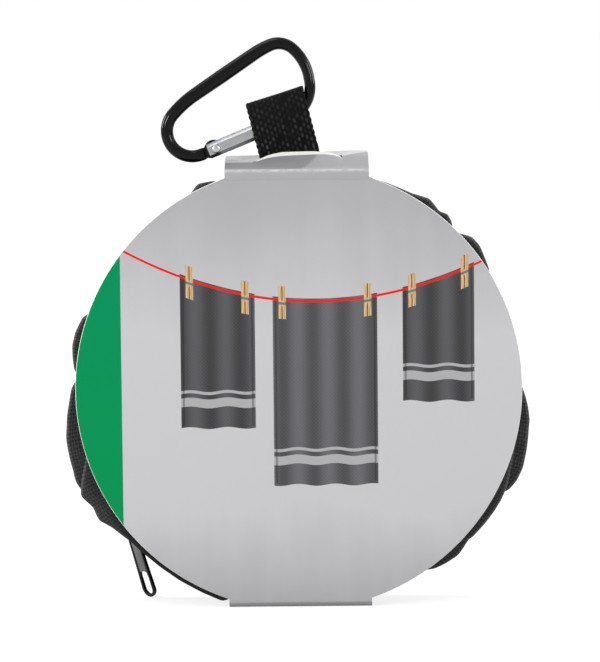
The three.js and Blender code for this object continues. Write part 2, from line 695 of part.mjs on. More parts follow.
function zipSlider() {
  const inner = SLIDER_CHANNEL / 2;
  const outer = inner + SLIDER_PLATE;
  const lip = FLANGE_SLOT / 2;
  const channelReach = SLIDER_LENGTH;
  const channel = new THREE.Shape();
  const nose = SLIDER_NOSE_WIDTH / 2 - SLIDER_FLANGE;
  const tail = SLIDER_TAIL_WIDTH / 2 - SLIDER_FLANGE;
  channel.moveTo(-channelReach, -nose);
  channel.lineTo(-SLIDER_LENGTH / 8, -nose);
  channel.lineTo(SLIDER_LENGTH / 4, -tail);
  channel.lineTo(channelReach, -tail);
  channel.lineTo(channelReach, tail);
  channel.lineTo(SLIDER_LENGTH / 4, tail);
  channel.lineTo(-SLIDER_LENGTH / 8, nose);
  channel.lineTo(-channelReach, nose);
  channel.closePath();
  const halves = [[lip, outer], [-outer, -lip]];
  const shells = halves.map(([low, high]) => plate(sliderOutline(), low, high));
  const shell = cut(join(...shells), plate(channel, -inner, inner));
  const postStart = -postReach - POST_LENGTH;
  const post = new THREE.Shape();
  post.moveTo(postStart, 0);
  post.lineTo(postStart + POST_LENGTH / 2, -POST_WIDTH / 2);
  post.lineTo(postStart + POST_LENGTH, 0);
  post.lineTo(postStart + POST_LENGTH / 2, POST_WIDTH / 2);
  post.closePath();
  const overlap = SLIDER_PLATE / 2;
  const diamond = plate(post, -inner - overlap, inner + overlap);
  const eyeTop = PIVOT_Z + EYE_BAR / 2 + RUNNING_GAP;
  const bail = box(
    [-BAIL_LENGTH / 2, -BAIL_WIDTH / 2, outer - overlap],
    [BAIL_LENGTH / 2, BAIL_WIDTH / 2, eyeTop + BAIL_BAR],
  );
  const eye = box(
    [-BAIL_LENGTH / 2 + BAIL_BAR, -BAIL_WIDTH, outer],
    [BAIL_LENGTH / 2 - BAIL_BAR, BAIL_WIDTH, eyeTop],
  );
  const chamfer = (side) => {
    const corner = box([-BAIL_BAR, -BAIL_WIDTH, 0], [BAIL_BAR, BAIL_WIDTH, BAIL_BAR]);
    corner.rotateY(side * radians(BAIL_CHAMFER_ANGLE));
    return corner.translate((side * BAIL_LENGTH) / 2, 0, eyeTop + BAIL_BAR - BAIL_CHAMFER);
  };
  return join(shell, diamond, cut(bail, eye, chamfer(1), chamfer(-1)));
}

const sliderFrame = chainFrame(SLIDER_ANGLE);
addPiece('zip_slider', zipSlider(), MATERIALS.blackMetal, sliderFrame);

// Outline of the puller's blade from the end of the eye to the rounded tip
function bladeOutline() {
  const neck = PULLER_NECK_WIDTH / 2;
  const tip = PULLER_TIP_WIDTH / 2;
  const shoulder = PULLER_LENGTH - tip;
  const root = PULLER_ARM - PULLER_RIM / 2;
  const outline = new THREE.Shape();
  outline.moveTo(root, -neck);
  outline.lineTo(PULLER_ARM, -neck);
  outline.quadraticCurveTo(PULLER_LENGTH / 2, -neck, shoulder, -tip);
  outline.absarc(shoulder, 0, tip, -Math.PI / 2, Math.PI / 2, false);
  outline.quadraticCurveTo(PULLER_LENGTH / 2, neck, PULLER_ARM, neck);
  outline.lineTo(root, neck);
  outline.closePath();
  return outline;
}

function slotOutline(start, end, width) {
  const radius = width / 2;
  const outline = new THREE.Shape();
  outline.absarc(end - radius, 0, radius, -Math.PI / 2, Math.PI / 2, false);
  outline.absarc(start + radius, 0, radius, Math.PI / 2, (3 * Math.PI) / 2, false);
  outline.closePath();
  return outline;
}

// The eye lies flat over the slider and the blade is twisted against it
function zipPuller() {
  const half = PULLER_THICKNESS / 2;
  const neck = PULLER_NECK_WIDTH / 2;
  const body = plate(bladeOutline(), -half, half);
  const holeEnd = PULLER_LENGTH - PULLER_RIM;
  const holeStart = holeEnd - PULLER_HOLE_LENGTH;
  const hole = plate(slotOutline(holeStart, holeEnd, PULLER_HOLE_WIDTH), -2 * half, 2 * half);
  const recessEnd = holeStart - PULLER_RIM;
  const recessWidth = PULLER_NECK_WIDTH - 1.5 * PULLER_RIM;
  const recess = slotOutline(recessEnd - PULLER_RECESS_LENGTH, recessEnd, recessWidth);
  const floor = half - PULLER_RECESS_DEPTH;
  const eyeInner = BAIL_WIDTH / 2 + RUNNING_GAP;
  const eye = box([EYE_BAR / 2, -eyeInner, -2 * half], [PULLER_ARM - PULLER_RIM, eyeInner, 2 * half]);
  const frame = cut(box([0, -neck, -half], [PULLER_ARM, neck, half]), eye);
  const hollows = [plate(recess, floor, 2 * half), plate(recess, -2 * half, -floor)];
  const blade = cut(body, hole, ...hollows).rotateX(radians(PULLER_TWIST));
  return join(frame, blade, bar('y', EYE_BAR / 2, PULLER_NECK_WIDTH, [0, 0, 0]));
}

const pullerFrame = new THREE.Group();
pullerFrame.position.z = PIVOT_Z;
pullerFrame.rotation.y = Math.PI + radians(PULLER_LIFT);
sliderFrame.add(pullerFrame);
addPiece('zip_puller', zipPuller(), MATERIALS.blackMetal, pullerFrame);

// Webbing loop

// Half of the pear-shaped eye inside the loop: distance from the middle at a height above the slit
function eyePoint(turn) {
  const low = WEB_STITCHED;
  const high = WEB_HEIGHT - WEB_THICKNESS;
  const swell = Math.sin(turn) * Math.sin(turn / 2);
  const fullest = (4 * Math.sqrt(3)) / 9;
  return new THREE.Vector2(
    ((WEB_EYE_WIDTH / 2) * swell) / fullest,
    low + ((high - low) * (1 - Math.cos(turn))) / 2,
  );
}

function webbingLoop() {
  const steps = 14;
  const right = [];
  for (let i = 0; i <= steps; i += 1) right.push(eyePoint((Math.PI * i) / steps));
  const mirrored = (points) => points.map((point) => new THREE.Vector2(-point.x, point.y)).reverse();
  const eye = [...right, ...mirrored(right.slice(1, -1))];
  const skin = right.map((point, i) => {
    const before = right[Math.max(i - 1, 0)];
    const after = right[Math.min(i + 1, steps)];
    const normal = new THREE.Vector2(after.y - before.y, before.x - after.x).normalize();
    if (i === 0) normal.set(1, 0);
    if (i === steps) normal.set(0, 1);
    return point.clone().addScaledVector(normal, WEB_THICKNESS);
  });
  const foot = -WEB_WIDTH / 2;
  const rightSide = [new THREE.Vector2(WEB_THICKNESS, foot), ...skin];
  const outline = new THREE.Shape([...rightSide, ...mirrored(rightSide.slice(0, -1))]);
  outline.holes.push(new THREE.Path(eye));
  const settings = { depth: WEB_WIDTH, bevelEnabled: false };
  const strap = new THREE.ExtrudeGeometry(outline, settings).translate(0, 0, -WEB_WIDTH / 2);
  const axes = [new THREE.Vector3(0, 1, 0), new THREE.Vector3(0, 0, 1), new THREE.Vector3(1, 0, 0)];
  strap.applyMatrix4(new THREE.Matrix4().makeBasis(...axes));
  strap.rotateY(-radians(WEB_LEAN));
  const below = box([-WEB_WIDTH, -WEB_WIDTH, -WEB_WIDTH], [WEB_WIDTH, WEB_WIDTH, 0]);
  const roundFoot = bar('x', WEB_FOOT_RADIUS, WEB_WIDTH, [0, 0, 0]);
  const loop = join(cut(strap, below), roundFoot);
  return loop.translate(WEB_FOOT_X, WEB_PLANE_Y, webAxisZ);
}

addPiece('webbing_loop', webbingLoop(), MATERIALS.webbing);
addPiece('webbing_tail', box(tailLow, tailHigh), MATERIALS.webbing);

// Carabiner, in a frame at the gate's rivet: X along the gate, Y towards the spine, Z to the front

const clipFrame = new THREE.Group();
clipFrame.position.set(HINGE_X, WEB_PLANE_Y, CARD_FOLD_HEIGHT + HINGE_RISE);
clipFrame.quaternion.setFromRotationMatrix(
  new THREE.Matrix4().makeBasis(
    new THREE.Vector3(Math.cos(radians(GATE_TILT)), 0, Math.sin(radians(GATE_TILT))),
    new THREE.Vector3(-Math.sin(radians(GATE_TILT)), 0, Math.cos(radians(GATE_TILT))),
    new THREE.Vector3(0, -1, 0),
  ),
);
part.add(clipFrame);

const barRadius = BAR_DIAMETER / 2;
const heelEnd = -Math.hypot(GATE_HEEL, GATE_HEIGHT / 2) - NOSE_GAP;
const noseEnd = Math.hypot(GATE_LENGTH, GATE_HEIGHT / 2) + NOSE_GAP;

// Middle line of the bent bar, from the hinge end round the heel, spine, crown and nose.
// The straight before the nose bend is as long as it takes to end level with the gate.
class BarLine extends THREE.Curve {
  constructor() {
    super();
    this.pieces = [];
    this.place = new THREE.Vector2(heelEnd, 0);
    this.heading = Math.PI;
    this.straight(HEEL_STRAIGHT + heelEnd);
    this.bend(HEEL_RADIUS, radians(HEEL_END_ANGLE));
    this.bend(HEEL_EASE_RADIUS, radians(SPINE_ANGLE));
    this.straight(SPINE_LENGTH);
    this.bend(SHOULDER_RADIUS, radians(SHOULDER_END_ANGLE));
    this.bend(CROWN_RADIUS, radians(CROWN_END_ANGLE));
    this.bend(SIDE_RADIUS, radians(SIDE_END_ANGLE));
    const noseDrop = NOSE_RADIUS * (1 + Math.cos(this.heading));
    this.straight((this.place.y - noseDrop) / -Math.sin(this.heading));
    this.bend(NOSE_RADIUS, -Math.PI);
    this.straight(Math.max(this.place.x - noseEnd, NOSE_STRAIGHT));
    this.total = this.pieces.reduce((sum, piece) => sum + piece.length, 0);
  }

  straight(length) {
    const start = this.place.clone();
    const forward = new THREE.Vector2(Math.cos(this.heading), Math.sin(this.heading));
    this.pieces.push({ length, at: (run) => start.clone().addScaledVector(forward, run) });
    this.place.addScaledVector(forward, length);
  }

  bend(radius, heading) {
    const from = this.heading;
    const length = radius * (from - heading);
    const offset = (angle) => new THREE.Vector2(-Math.sin(angle), Math.cos(angle)).multiplyScalar(radius);
    const centre = this.place.clone().sub(offset(from));
    this.pieces.push({ length, at: (run) => centre.clone().add(offset(from - run / radius)) });
    this.place.copy(centre).add(offset(heading));
    this.heading = heading;
  }

  getPoint(t, target = new THREE.Vector3()) {
    let run = t * this.total;
    const last = this.pieces.length - 1;
    const found = this.pieces.findIndex((piece, i) => {
      if (run <= piece.length || i === last) return true;
      run -= piece.length;
      return false;
    });
    const point = this.pieces[found].at(run);
    return target.set(point.x, point.y, 0);
  }
}

function circleOutline(radius, sides) {
  const points = [];
  for (let i = 0; i < sides; i += 1) {
    const turn = (2 * Math.PI * (i + 0.5)) / sides;
    points.push(new THREE.Vector2(radius * Math.cos(turn), radius * Math.sin(turn)));
  }
  return new THREE.Shape(points);
}

function carabinerBody() {
  const settings = { steps: 60, bevelEnabled: false, extrudePath: new BarLine() };
  const rod = new THREE.ExtrudeGeometry(circleOutline(barRadius, BAR_SIDES), settings);
  const halfTongue = TONGUE_THICKNESS / 2;
  const tongue = new THREE.Shape();
  const meet = Math.PI - Math.asin(TONGUE_ROOT / TONGUE_RADIUS);
  tongue.moveTo(heelEnd - barRadius, -TONGUE_ROOT);
  tongue.absarc(-TONGUE_SETBACK, 0, TONGUE_RADIUS, -meet, meet, false);
  tongue.lineTo(heelEnd - barRadius, TONGUE_ROOT);
  tongue.closePath();
  const rivetHole = bar('z', RIVET_DIAMETER / 2 + RUNNING_GAP, 2 * GATE_THICKNESS, [0, 0, 0]);
  const noseTongue = box(
    [noseEnd - NOSE_GAP - NOSE_TONGUE_LENGTH, -NOSE_TONGUE_HEIGHT / 2, -halfTongue],
    [noseEnd + barRadius, NOSE_TONGUE_HEIGHT / 2, halfTongue],
  );
  const latch = GATE_LENGTH - LATCH_SETBACK;
  const notchHalf = LATCH_DIAMETER / 2 + RUNNING_GAP;
  const notch = box(
    [latch - notchHalf, -notchHalf, -BAR_DIAMETER],
    [latch + notchHalf, NOSE_TONGUE_HEIGHT, BAR_DIAMETER],
  );
  const hinge = cut(plate(tongue, -halfTongue, halfTongue), rivetHole);
  return join(rod, hinge, cut(noseTongue, notch));
}

addPiece('carabiner_body', carabinerBody(), MATERIALS.blackMetal, clipFrame);

// Flat-sided bar along X with its edges and ends chamfered
function gateBar() {
  const high = GATE_HEIGHT / 2;
  const thick = GATE_THICKNESS / 2;
  const corners = [
    [high, thick - GATE_CHAMFER],
    [high - GATE_CHAMFER, thick],
    [GATE_CHAMFER - high, thick],
    [-high, thick - GATE_CHAMFER],
    [-high, GATE_CHAMFER - thick],
    [GATE_CHAMFER - high, -thick],
    [high - GATE_CHAMFER, -thick],
    [high, GATE_CHAMFER - thick],
  ];
  const outline = new THREE.Shape(corners.map((corner) => new THREE.Vector2(...corner)));
  const settings = {
    depth: GATE_LENGTH + GATE_HEEL - 2 * GATE_END_CHAMFER,
    bevelThickness: GATE_END_CHAMFER,
    bevelSize: GATE_END_CHAMFER,
    bevelOffset: -GATE_END_CHAMFER,
    bevelSegments: 1,
  };
  const solid = new THREE.ExtrudeGeometry(outline, settings).translate(0, 0, GATE_END_CHAMFER - GATE_HEEL);
  const axes = [new THREE.Vector3(0, 1, 0), new THREE.Vector3(0, 0, 1), new THREE.Vector3(1, 0, 0)];
  return solid.applyMatrix4(new THREE.Matrix4().makeBasis(...axes));
}

function carabinerGate() {
  const halfSlot = TONGUE_THICKNESS / 2 + RUNNING_GAP;
  const hingeSlot = box(
    [-GATE_HEIGHT, -GATE_HEIGHT, -halfSlot],
    [HINGE_SLOT_DEPTH, GATE_HEIGHT, halfSlot],
  );
  const tipSlot = box(
    [GATE_LENGTH - TIP_SLOT_DEPTH, -GATE_HEIGHT, -halfSlot],
    [GATE_LENGTH + 1, GATE_HEIGHT, halfSlot],
  );
  const boreStart = HINGE_SLOT_DEPTH - BORE_OVERLAP;
  const boreMiddle = [(boreStart + GATE_BORE_END) / 2, 0, 0];
  const bore = bar('x', GATE_BORE / 2, GATE_BORE_END - boreStart, boreMiddle);
  const across = 2 * GATE_THICKNESS;
  const rivetHole = bar('z', RIVET_DIAMETER / 2 + SEAT_GAP, across, [0, 0, 0]);
  const latchHole = bar('z', LATCH_DIAMETER / 2 + SEAT_GAP, across, [GATE_LENGTH - LATCH_SETBACK, 0, 0]);
  return cut(gateBar(), hingeSlot, tipSlot, bore, rivetHole, latchHole);
}

addPiece('carabiner_gate', carabinerGate(), MATERIALS.aluminium, clipFrame);

function gateRivet() {
  const shank = GATE_THICKNESS + 2 * SEAT_GAP + RIVET_HEAD_HEIGHT;
  const headPlace = GATE_THICKNESS / 2 + SEAT_GAP / 2 + RIVET_HEAD_HEIGHT / 2;
  const head = (side) => bar('z', RIVET_HEAD / 2, RIVET_HEAD_HEIGHT, [0, 0, side * headPlace]);
  return join(bar('z', RIVET_DIAMETER / 2, shank, [0, 0, 0]), head(1), head(-1));
}

addPiece('gate_rivet', gateRivet(), MATERIALS.steel, clipFrame);
const latchLength = GATE_THICKNESS - 2 * SEAT_GAP;
const latchPlace = [GATE_LENGTH - LATCH_SETBACK, 0, 0];
const latchPin = bar('z', LATCH_DIAMETER / 2, latchLength, latchPlace);
addPiece('gate_latch_pin', latchPin, MATERIALS.steel, clipFrame);

// Plunger and spring inside the gate, pressing on the end of the hinge tongue
const plungerStart = TONGUE_RADIUS - TONGUE_SETBACK + RUNNING_GAP;
const plungerEnd = plungerStart + PLUNGER_LENGTH;
const plungerMiddle = [(plungerStart + plungerEnd) / 2, 0, 0];
const plungerRadius = GATE_BORE / 2 - RUNNING_GAP;
const halfHead = TONGUE_THICKNESS / 2;
const plungerRod = bar('x', plungerRadius, PLUNGER_LENGTH, plungerMiddle);
const headSlab = box(
  [plungerStart - 1, -GATE_BORE, -halfHead],
  [HINGE_SLOT_DEPTH + RUNNING_GAP, GATE_BORE, halfHead],
);
const shankSlab = box([HINGE_SLOT_DEPTH, -GATE_BORE, -GATE_BORE], [plungerEnd + 1, GATE_BORE, GATE_BORE]);
addPiece('gate_plunger', common(plungerRod, join(headSlab, shankSlab)), MATERIALS.steel, clipFrame);

class Helix extends THREE.Curve {
  getPoint(t, target = new THREE.Vector3()) {
    const radius = GATE_BORE / 2 - RUNNING_GAP / 2 - SPRING_WIRE / 2;
    const start = plungerEnd + SEAT_GAP + SPRING_WIRE / 2;
    const end = GATE_BORE_END - SEAT_GAP - SPRING_WIRE / 2;
    const turn = 2 * Math.PI * SPRING_TURNS * t;
    return target.set(start + (end - start) * t, radius * Math.cos(turn), radius * Math.sin(turn));
  }
}

const springSettings = { steps: SPRING_TURNS * 8, bevelEnabled: false, extrudePath: new Helix() };
const springWire = new THREE.ExtrudeGeometry(circleOutline(SPRING_WIRE / 2, 5), springSettings);
addPiece('gate_spring', springWire, MATERIALS.steel, clipFrame);

export default part;
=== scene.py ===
"""Looks of a round peg bag packed flat in its card sleeve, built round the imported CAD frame.

Lengths are in millimetres until a mesh is made. +Z is up and the front of the card faces -Y.
Angles about the bag run from +X towards +Z, in degrees.
"""
import math
from functools import partialmethod

import bmesh
import bpy
import numpy as np
from mathutils import Matrix, Vector, noise


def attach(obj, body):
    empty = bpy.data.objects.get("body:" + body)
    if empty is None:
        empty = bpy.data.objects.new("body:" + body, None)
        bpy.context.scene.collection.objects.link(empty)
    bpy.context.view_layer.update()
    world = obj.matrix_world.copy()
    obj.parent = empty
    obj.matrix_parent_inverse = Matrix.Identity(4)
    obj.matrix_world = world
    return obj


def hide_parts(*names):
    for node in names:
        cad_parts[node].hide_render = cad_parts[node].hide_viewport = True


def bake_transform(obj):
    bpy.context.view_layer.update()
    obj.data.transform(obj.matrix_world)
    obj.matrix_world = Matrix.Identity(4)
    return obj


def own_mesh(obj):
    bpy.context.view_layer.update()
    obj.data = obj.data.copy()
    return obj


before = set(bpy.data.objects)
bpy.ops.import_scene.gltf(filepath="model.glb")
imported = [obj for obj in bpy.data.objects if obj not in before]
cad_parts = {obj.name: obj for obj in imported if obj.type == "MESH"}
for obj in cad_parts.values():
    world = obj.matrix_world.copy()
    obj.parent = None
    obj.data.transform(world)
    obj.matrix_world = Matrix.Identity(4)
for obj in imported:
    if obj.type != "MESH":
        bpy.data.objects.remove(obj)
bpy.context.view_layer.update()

MM = 0.001

# Camera, worked out for a 600 x 662 frame
CAMERA_DISTANCE = 1100.0
CAMERA_ELEVATION = 5.299
CAMERA_ROLL = -0.5457
CAMERA_LENS = 197.03
CAMERA_SENSOR = 36.0
LOOK_POINT = (0.5975, -12.0, 93.53)

# Card sleeve
CARD_RADIUS = 75.0
CARD_CENTRE_Z = 73.9
CARD_THICKNESS = 0.45
PACK_DEPTH = 24.0
FRONT_Y = -PACK_DEPTH / 2
BACK_Y = PACK_DEPTH / 2
TAB_HALF = 24.1
CREASE_TOP_Z = 144.2
CREASE_LOW_Z = 1.7
FOLD_TOP_Z = 147.8
BRIDGE_RISE = 4.0
SLIT_LEFT = -13.3
SLIT_RIGHT = 15.3
SLIT_FRONT = -3.2
SLIT_BACK = 1.8
LIP_ROOT = -9.4
LIP_CREASE = -3.7
EDGE_CHAMFER = 0.15
LAP_LOW = 62.9
LAP_HIGH = 84.9

# Bag
BAG_Z = 74.2
RIM_RADIUS = 72.6
RIM_WIDTH = 1.6
SEAM_RADIUS = 70.7
WALL_Y = -9.8
WALL_THICKNESS = 0.8
PLEAT_COUNT = 6
PLEAT_PITCH = 1.7
PLEAT_INNER_RADIUS = 44.0
PLEAT_ROOT_RADIUS = 52.0
LEAN = 0.5
LEAN_COUNT = 13
BASE_Y = -11.2
HEM_Y = -2.2
HEM_DEPTH = 3.0
HEM_LAP = 0.6
PANEL_THICKNESS = 0.7
BASE_DEPTH = 2.2
HEM_START = 100.2
HEM_END = 443.2
LID_CLOTH_RADIUS = 68.54
LID_CLOTH_Y = 10.18
LID_PUFF = 1.4
LID_WRINKLE = 0.55

# Flat sizes of the cloth, in metres
LID_FLAT = 0.1375
BASE_FLAT = 0.1414

# Folds that swell out past the card: which fold, then corners of its outline as angle and reach
FOLD_OUTLINES = (
    (0, ((28.7, 73.6), (31.2, 75.2), (33.4, 75.9), (38, 77.3), (40.6, 77.1), (43, 75.1), (45.2, 73.6))),
    (0, ((159, 73.6), (161.5, 76.3), (166, 77.5), (169, 77.7), (175, 76), (178, 73.8))),
    (0, ((197, 75), (206, 82.4), (210, 80.6), (213.4, 81.3), (216.6, 79.1), (223, 77.2), (227, 73.6))),
    (
        0,
        (
            (313, 74.5), (318, 77.9), (324, 78.3), (330, 78.6),
            (333, 78.2), (338, 77), (344, 75.8), (352, 73.6),
        ),
    ),
    (
        1,
        (
            (44.7, 73.6), (46.4, 75.6), (48.7, 76.7), (50.7, 75.6),
            (54.7, 77), (59.2, 75.4), (69.2, 74.4), (73.2, 73.2),
        ),
    ),
    (1, ((110.5, 73.6), (111.8, 74.8), (116, 76.2), (118.5, 74.6), (120, 73.4))),
    (1, ((176, 73.8), (180, 76.8), (186, 78.8), (192, 80.6), (203, 82.4), (207, 81.2), (217, 73.6))),
    (
        1,
        (
            (299.5, 73.6), (303, 75.8), (306, 77.5), (309, 78.4),
            (312.5, 79.2), (319, 77.4), (326, 76), (329, 73.6),
        ),
    ),
    (
        1,
        (
            (328.5, 74), (331, 77.4), (333, 79.6), (336, 80.9), (339.5, 80.9),
            (345, 79.8), (351, 79), (354, 78), (360, 75.2), (362, 73.6),
        ),
    ),
)

# Part of the base's bound edge that shows past the card, as angle and reach
EDGE_OUTLINE = ((214, 72.6), (218, 76.7), (222, 77), (228, 76.8), (235, 76.7), (250, 76.9), (254, 72.6))

# Zip band, sloping in towards the lid
ZIP_SLOPE = 18.0
ZIP_Y = 1.2
ZIP_RADIUS = 73.0
TAPE_WIDTH = 2.6
TAPE_THICKNESS = 0.6
RAIL_START = 2.9
RAIL_WIDTH = 0.7
TOOTH_LENGTH = 1.15
TOOTH_WIDTH = 1.6
TOOTH_PITCH = 4.0
TEETH_THICKNESS = 2.0
BAND_WIDTH = 8.6
CHAIN_CENTRE = 4.3
ZIP_RIGHT_END = -47.49
ZIP_LEFT_END = 227.06
TEETH_RIGHT_END = -42.0
TEETH_LEFT_END = 219.16
TEETH_PARTING = 134.2
PARTING_ROOT = 1.87
HINGE_THICKNESS = 0.8
LID_RIM_RADIUS = 71.04
LID_BINDING_WIDTH = 2.2
LID_RIM_Y = 9.68
LID_BINDING_DEPTH = 1.5
TAB_REACH = 4.3
TAB_INSET = 0.8
TAB_LOW = 0.7
TAB_HIGH = 1.5
TAB_STITCH = 1.9

# Puller, in its own frame at the slider's cross bar
PULLER_PLACE = (-59.06328, 6.35565, 28.05471)
PULLER_ALONG = (0.299761, 0.112753, -0.947328)
PULLER_NORMAL = (0.922415, -0.287712, 0.257633)
PULLER_TWIST = -60.0
PULLER_LENGTH = 29.1
PULLER_SWING = 2.0
PULLER_NECK = 5.2
PULLER_TIP = 6.3
PULLER_THICKNESS = 1.1
PULLER_ARM = 6.4
PULLER_RIM = 1.0
HOLE_LENGTH = 8.4
HOLE_WIDTH = 3.9
RECESS_LENGTH = 11.0
RECESS_DEPTH = 0.3
EYE_BAR = 1.5
EYE_HALF = 1.2

# Webbing loop, in a frame at the foot: across the strap, towards the back, and up along it
WEB_FOOT = (-2.1, -0.7, 151.333)
WEB_LEAN = 14.1
WEB_WIDTH = 20.0
WEB_THICKNESS = 1.4
WEB_HEIGHT = 22.0
WEB_EYE_WIDTH = 7.8
WEB_STITCHED = 2.0
WEB_COLUMN = 1.4
WEB_ROW = 2.2
WEB_RAISE = 0.22
WEB_SHEAR = 0.06
WEB_SHEAR_DROP = 0.3
WEB_EDGE_THIN = {0: 0.72, 1: 0.96}
WEB_TAIL_LOW = -6.1
WEB_TAIL_HALF = 1.24
WEB_END_Z = 150.45
WEB_CORE_TOP = 8.0

# Carabiner, in a frame at the gate's rivet: along the gate, towards the spine, to the front
CLIP_PLACE = (-27.0, -0.7, 154.5)
GATE_TILT = 22.3
BAR_RADIUS = 2.1
GATE_HIGH = 2.6
GATE_THICK = 2.4
GATE_CHAMFER = 1.2
GATE_LENGTH = 26.5
GATE_HEEL = 2.75
NOSE_GAP = 0.4
HEEL_STRAIGHT = 5.2
BENDS_TO_SPINE = ((8.5, 27.4), (36.5, 11.6))
SPINE_LENGTH = 24.3
BENDS_TO_SIDE = ((31.0, 0.6), (7.3, -64.3), (16.7, -102.6))
NOSE_RADIUS = 11.0
TONGUE_HALF = 0.95
TONGUE_RADIUS = 3.3
TONGUE_SETBACK = 0.9
TONGUE_ROOT = 1.9
TONGUE_LOW = 2.3
RUNNING_GAP = 0.3
LATCH_SETBACK = 2.3
LATCH_RADIUS = 0.8
NOSE_TONGUE_LENGTH = 4.2
NOSE_TONGUE_HALF = 2.0
HINGE_SLOT_END = 3.7
TIP_SLOT_LENGTH = 4.8
BORE_RADIUS = 1.6
BORE_SPAN = (3.2, 17.0)
RIVET_RADIUS = 0.9
RIVET_HOLE = 1.2
RIVET_HEAD = 1.4

# Dip of the top bridge behind the slit, where the strap lies when it flops back
DIP_PLACES = (1.8, 4.7, 6.9, 9.2, 12.0)
DIP_HEIGHTS = (149.3, 149.85, 150.4, 151.2, 152.4)
DIP_LEFT = -15.5
DIP_RIGHT = 9.5
DIP_RISE = 0.05
DIP_EASE = 2.5

# Front lip of the slit: heights of its crease and of its turned-up edge along the slit
LIP_PLACES = (-13.3, -11.0, -8.5, -4.8, 4.7, 10.0, 13.5, 15.3)
LIP_CREASE_Z = (149.8, 150.6, 151.1, 151.5, 151.9, 152.0, 151.5, 150.6)
LIP_EDGE_Z = (150.1, 151.5, 152.4, 153.1, 153.3, 153.0, 152.2, 150.8)

# Plain print of the card: a green edge, and towels pegged on a red line
GREEN_EDGE_X = -59.4
LINE_LOW_Z = 103.5
LINE_MIDDLE_X = 6.0
LINE_SAG = 0.0042
LINE_HALF = 0.42
TOWELS = ((-27.0, 12.5, 47.0, 0.0), (9.0, 17.5, 62.0, 1.0), (47.0, 12.0, 41.0, 0.0))
PEG_INSET = 3.2
PEG_HALF = 1.25
PEG_UP = 4.6
PEG_DOWN = 6.4
SOFT_EDGE = 0.09

# Half width of the carabiner's bar in its own plane, by the share of its length
BAR_SHARES = (0.0, 0.15, 0.3, 0.45, 0.6, 0.72, 0.85, 1.0)
BAR_HALVES = (2.1, 2.1, 2.25, 2.4, 2.25, 1.95, 1.85, 1.95)

# Light: strengths of world and floor, then lamps as name, place, aim, width, height and power
AMBIENT = 0.42
FLOOR_TONE = 0.4
FLOOR_HALF = 6000.0
FLOOR_Z = -0.05
GLOW_NEAR = 0.7
GLOW_FAR = 0.88
GLOW_REACH = (150.0, 700.0)
LAMPS = (
    ("key", (-0.82, -0.78, 0.45), (0, 0, 0.08), 0.16, 0.26, 6.2),
    ("fill", (0.82, -0.78, 0.42), (0, 0, 0.08), 0.16, 0.26, 4.4),
    ("side_left", (-0.85, 0.12, 0.4), (-0.01, 0, 0.14), 0.16, 0.35, 4.0),
    ("side_right", (0.85, 0.1, 0.42), (-0.01, 0, 0.14), 0.16, 0.35, 4.0),
    ("top", (-0.3, -0.05, 0.95), (-0.02, 0, 0.15), 0.55, 0.5, 2.3),
)


# Mesh helpers


def unit(vector):
    vector = np.asarray(vector, float)
    return vector / np.linalg.norm(vector)


def smoothstep(value, low, high):
    share = np.clip((np.asarray(value, float) - low) / (high - low), 0, 1)
    return share * share * (3 - 2 * share)


def link(name, mesh, materials):
    piece = bpy.data.objects.new(name, mesh)
    bpy.context.scene.collection.objects.link(piece)
    for material in materials:
        mesh.materials.append(material)
    return piece


def outward(mesh):
    shell = bmesh.new()
    shell.from_mesh(mesh)
    bmesh.ops.recalc_face_normals(shell, faces=shell.faces)
    shell.to_mesh(mesh)
    shell.free()


def build(name, points, faces, materials, smooth=True, face_materials=None, flow=None, closed=True):
    """Object from points in millimetres. flow is a list of (u, v) per face corner, in millimetres."""
    mesh = bpy.data.meshes.new(name)
    mesh.from_pydata((np.asarray(points, float) * MM).tolist(), [], faces)
    if face_materials is not None:
        mesh.polygons.foreach_set("material_index", face_materials)
    if flow is not None:
        layer = mesh.uv_layers.new(name="flow")
        layer.data.foreach_set("uv", np.asarray(flow, float).ravel())
    mesh.polygons.foreach_set("use_smooth", [smooth] * len(mesh.polygons))
    if closed:
        outward(mesh)
    mesh.update()
    return link(name, mesh, materials)


def grid(rows, columns, wrap_rows=False, wrap_columns=False, offset=0):
    """Quads of a grid of points, and the grid place of each of their corners."""
    faces, places = [], []
    for i in range(rows if wrap_rows else rows - 1):
        for k in range(columns if wrap_columns else columns - 1):
            corners = ((i, k), (i, k + 1), (i + 1, k + 1), (i + 1, k))
            faces.append(tuple(offset + (r % rows) * columns + c % columns for r, c in corners))
            places.extend(corners)
    return faces, places


def running_length(points, wrap):
    """Length so far along each of several lines of points, averaged, one more entry if wrapped."""
    ends = np.concatenate([points, points[:, :1]], axis=1) if wrap else points
    steps = np.linalg.norm(np.diff(ends, axis=1), axis=2).mean(axis=0)
    return np.concatenate([[0], np.cumsum(steps)])


def loft(name, rings, materials, wrap_path=False):
    """Surface through closed rings of points (rings x points x 3), capped unless its path joins up."""
    rings = np.asarray(rings, float)
    rows, columns = rings.shape[:2]
    faces, places = grid(rows, columns, wrap_path, True)
    along = running_length(rings.transpose(1, 0, 2), wrap_path)
    across = running_length(rings, True)
    flow = [(along[i], across[k]) for i, k in places]
    if not wrap_path:
        for first, turn in ((0, -1), ((rows - 1) * columns, 1)):
            cap = [first + k for k in range(columns)][::turn]
            faces.append(tuple(cap))
            flow.extend((0.0, across[k]) for k in range(columns))
    return build(name, rings.reshape(-1, 3), faces, materials, flow=flow)


def around(angles, radius, y):
    """Points about the bag's axis. radius and y may be arrays."""
    turn = np.radians(angles)
    radius = np.asarray(radius, float)
    return np.stack(
        [radius * np.cos(turn), np.broadcast_to(y, turn.shape), BAG_Z + radius * np.sin(turn)], axis=-1
    )


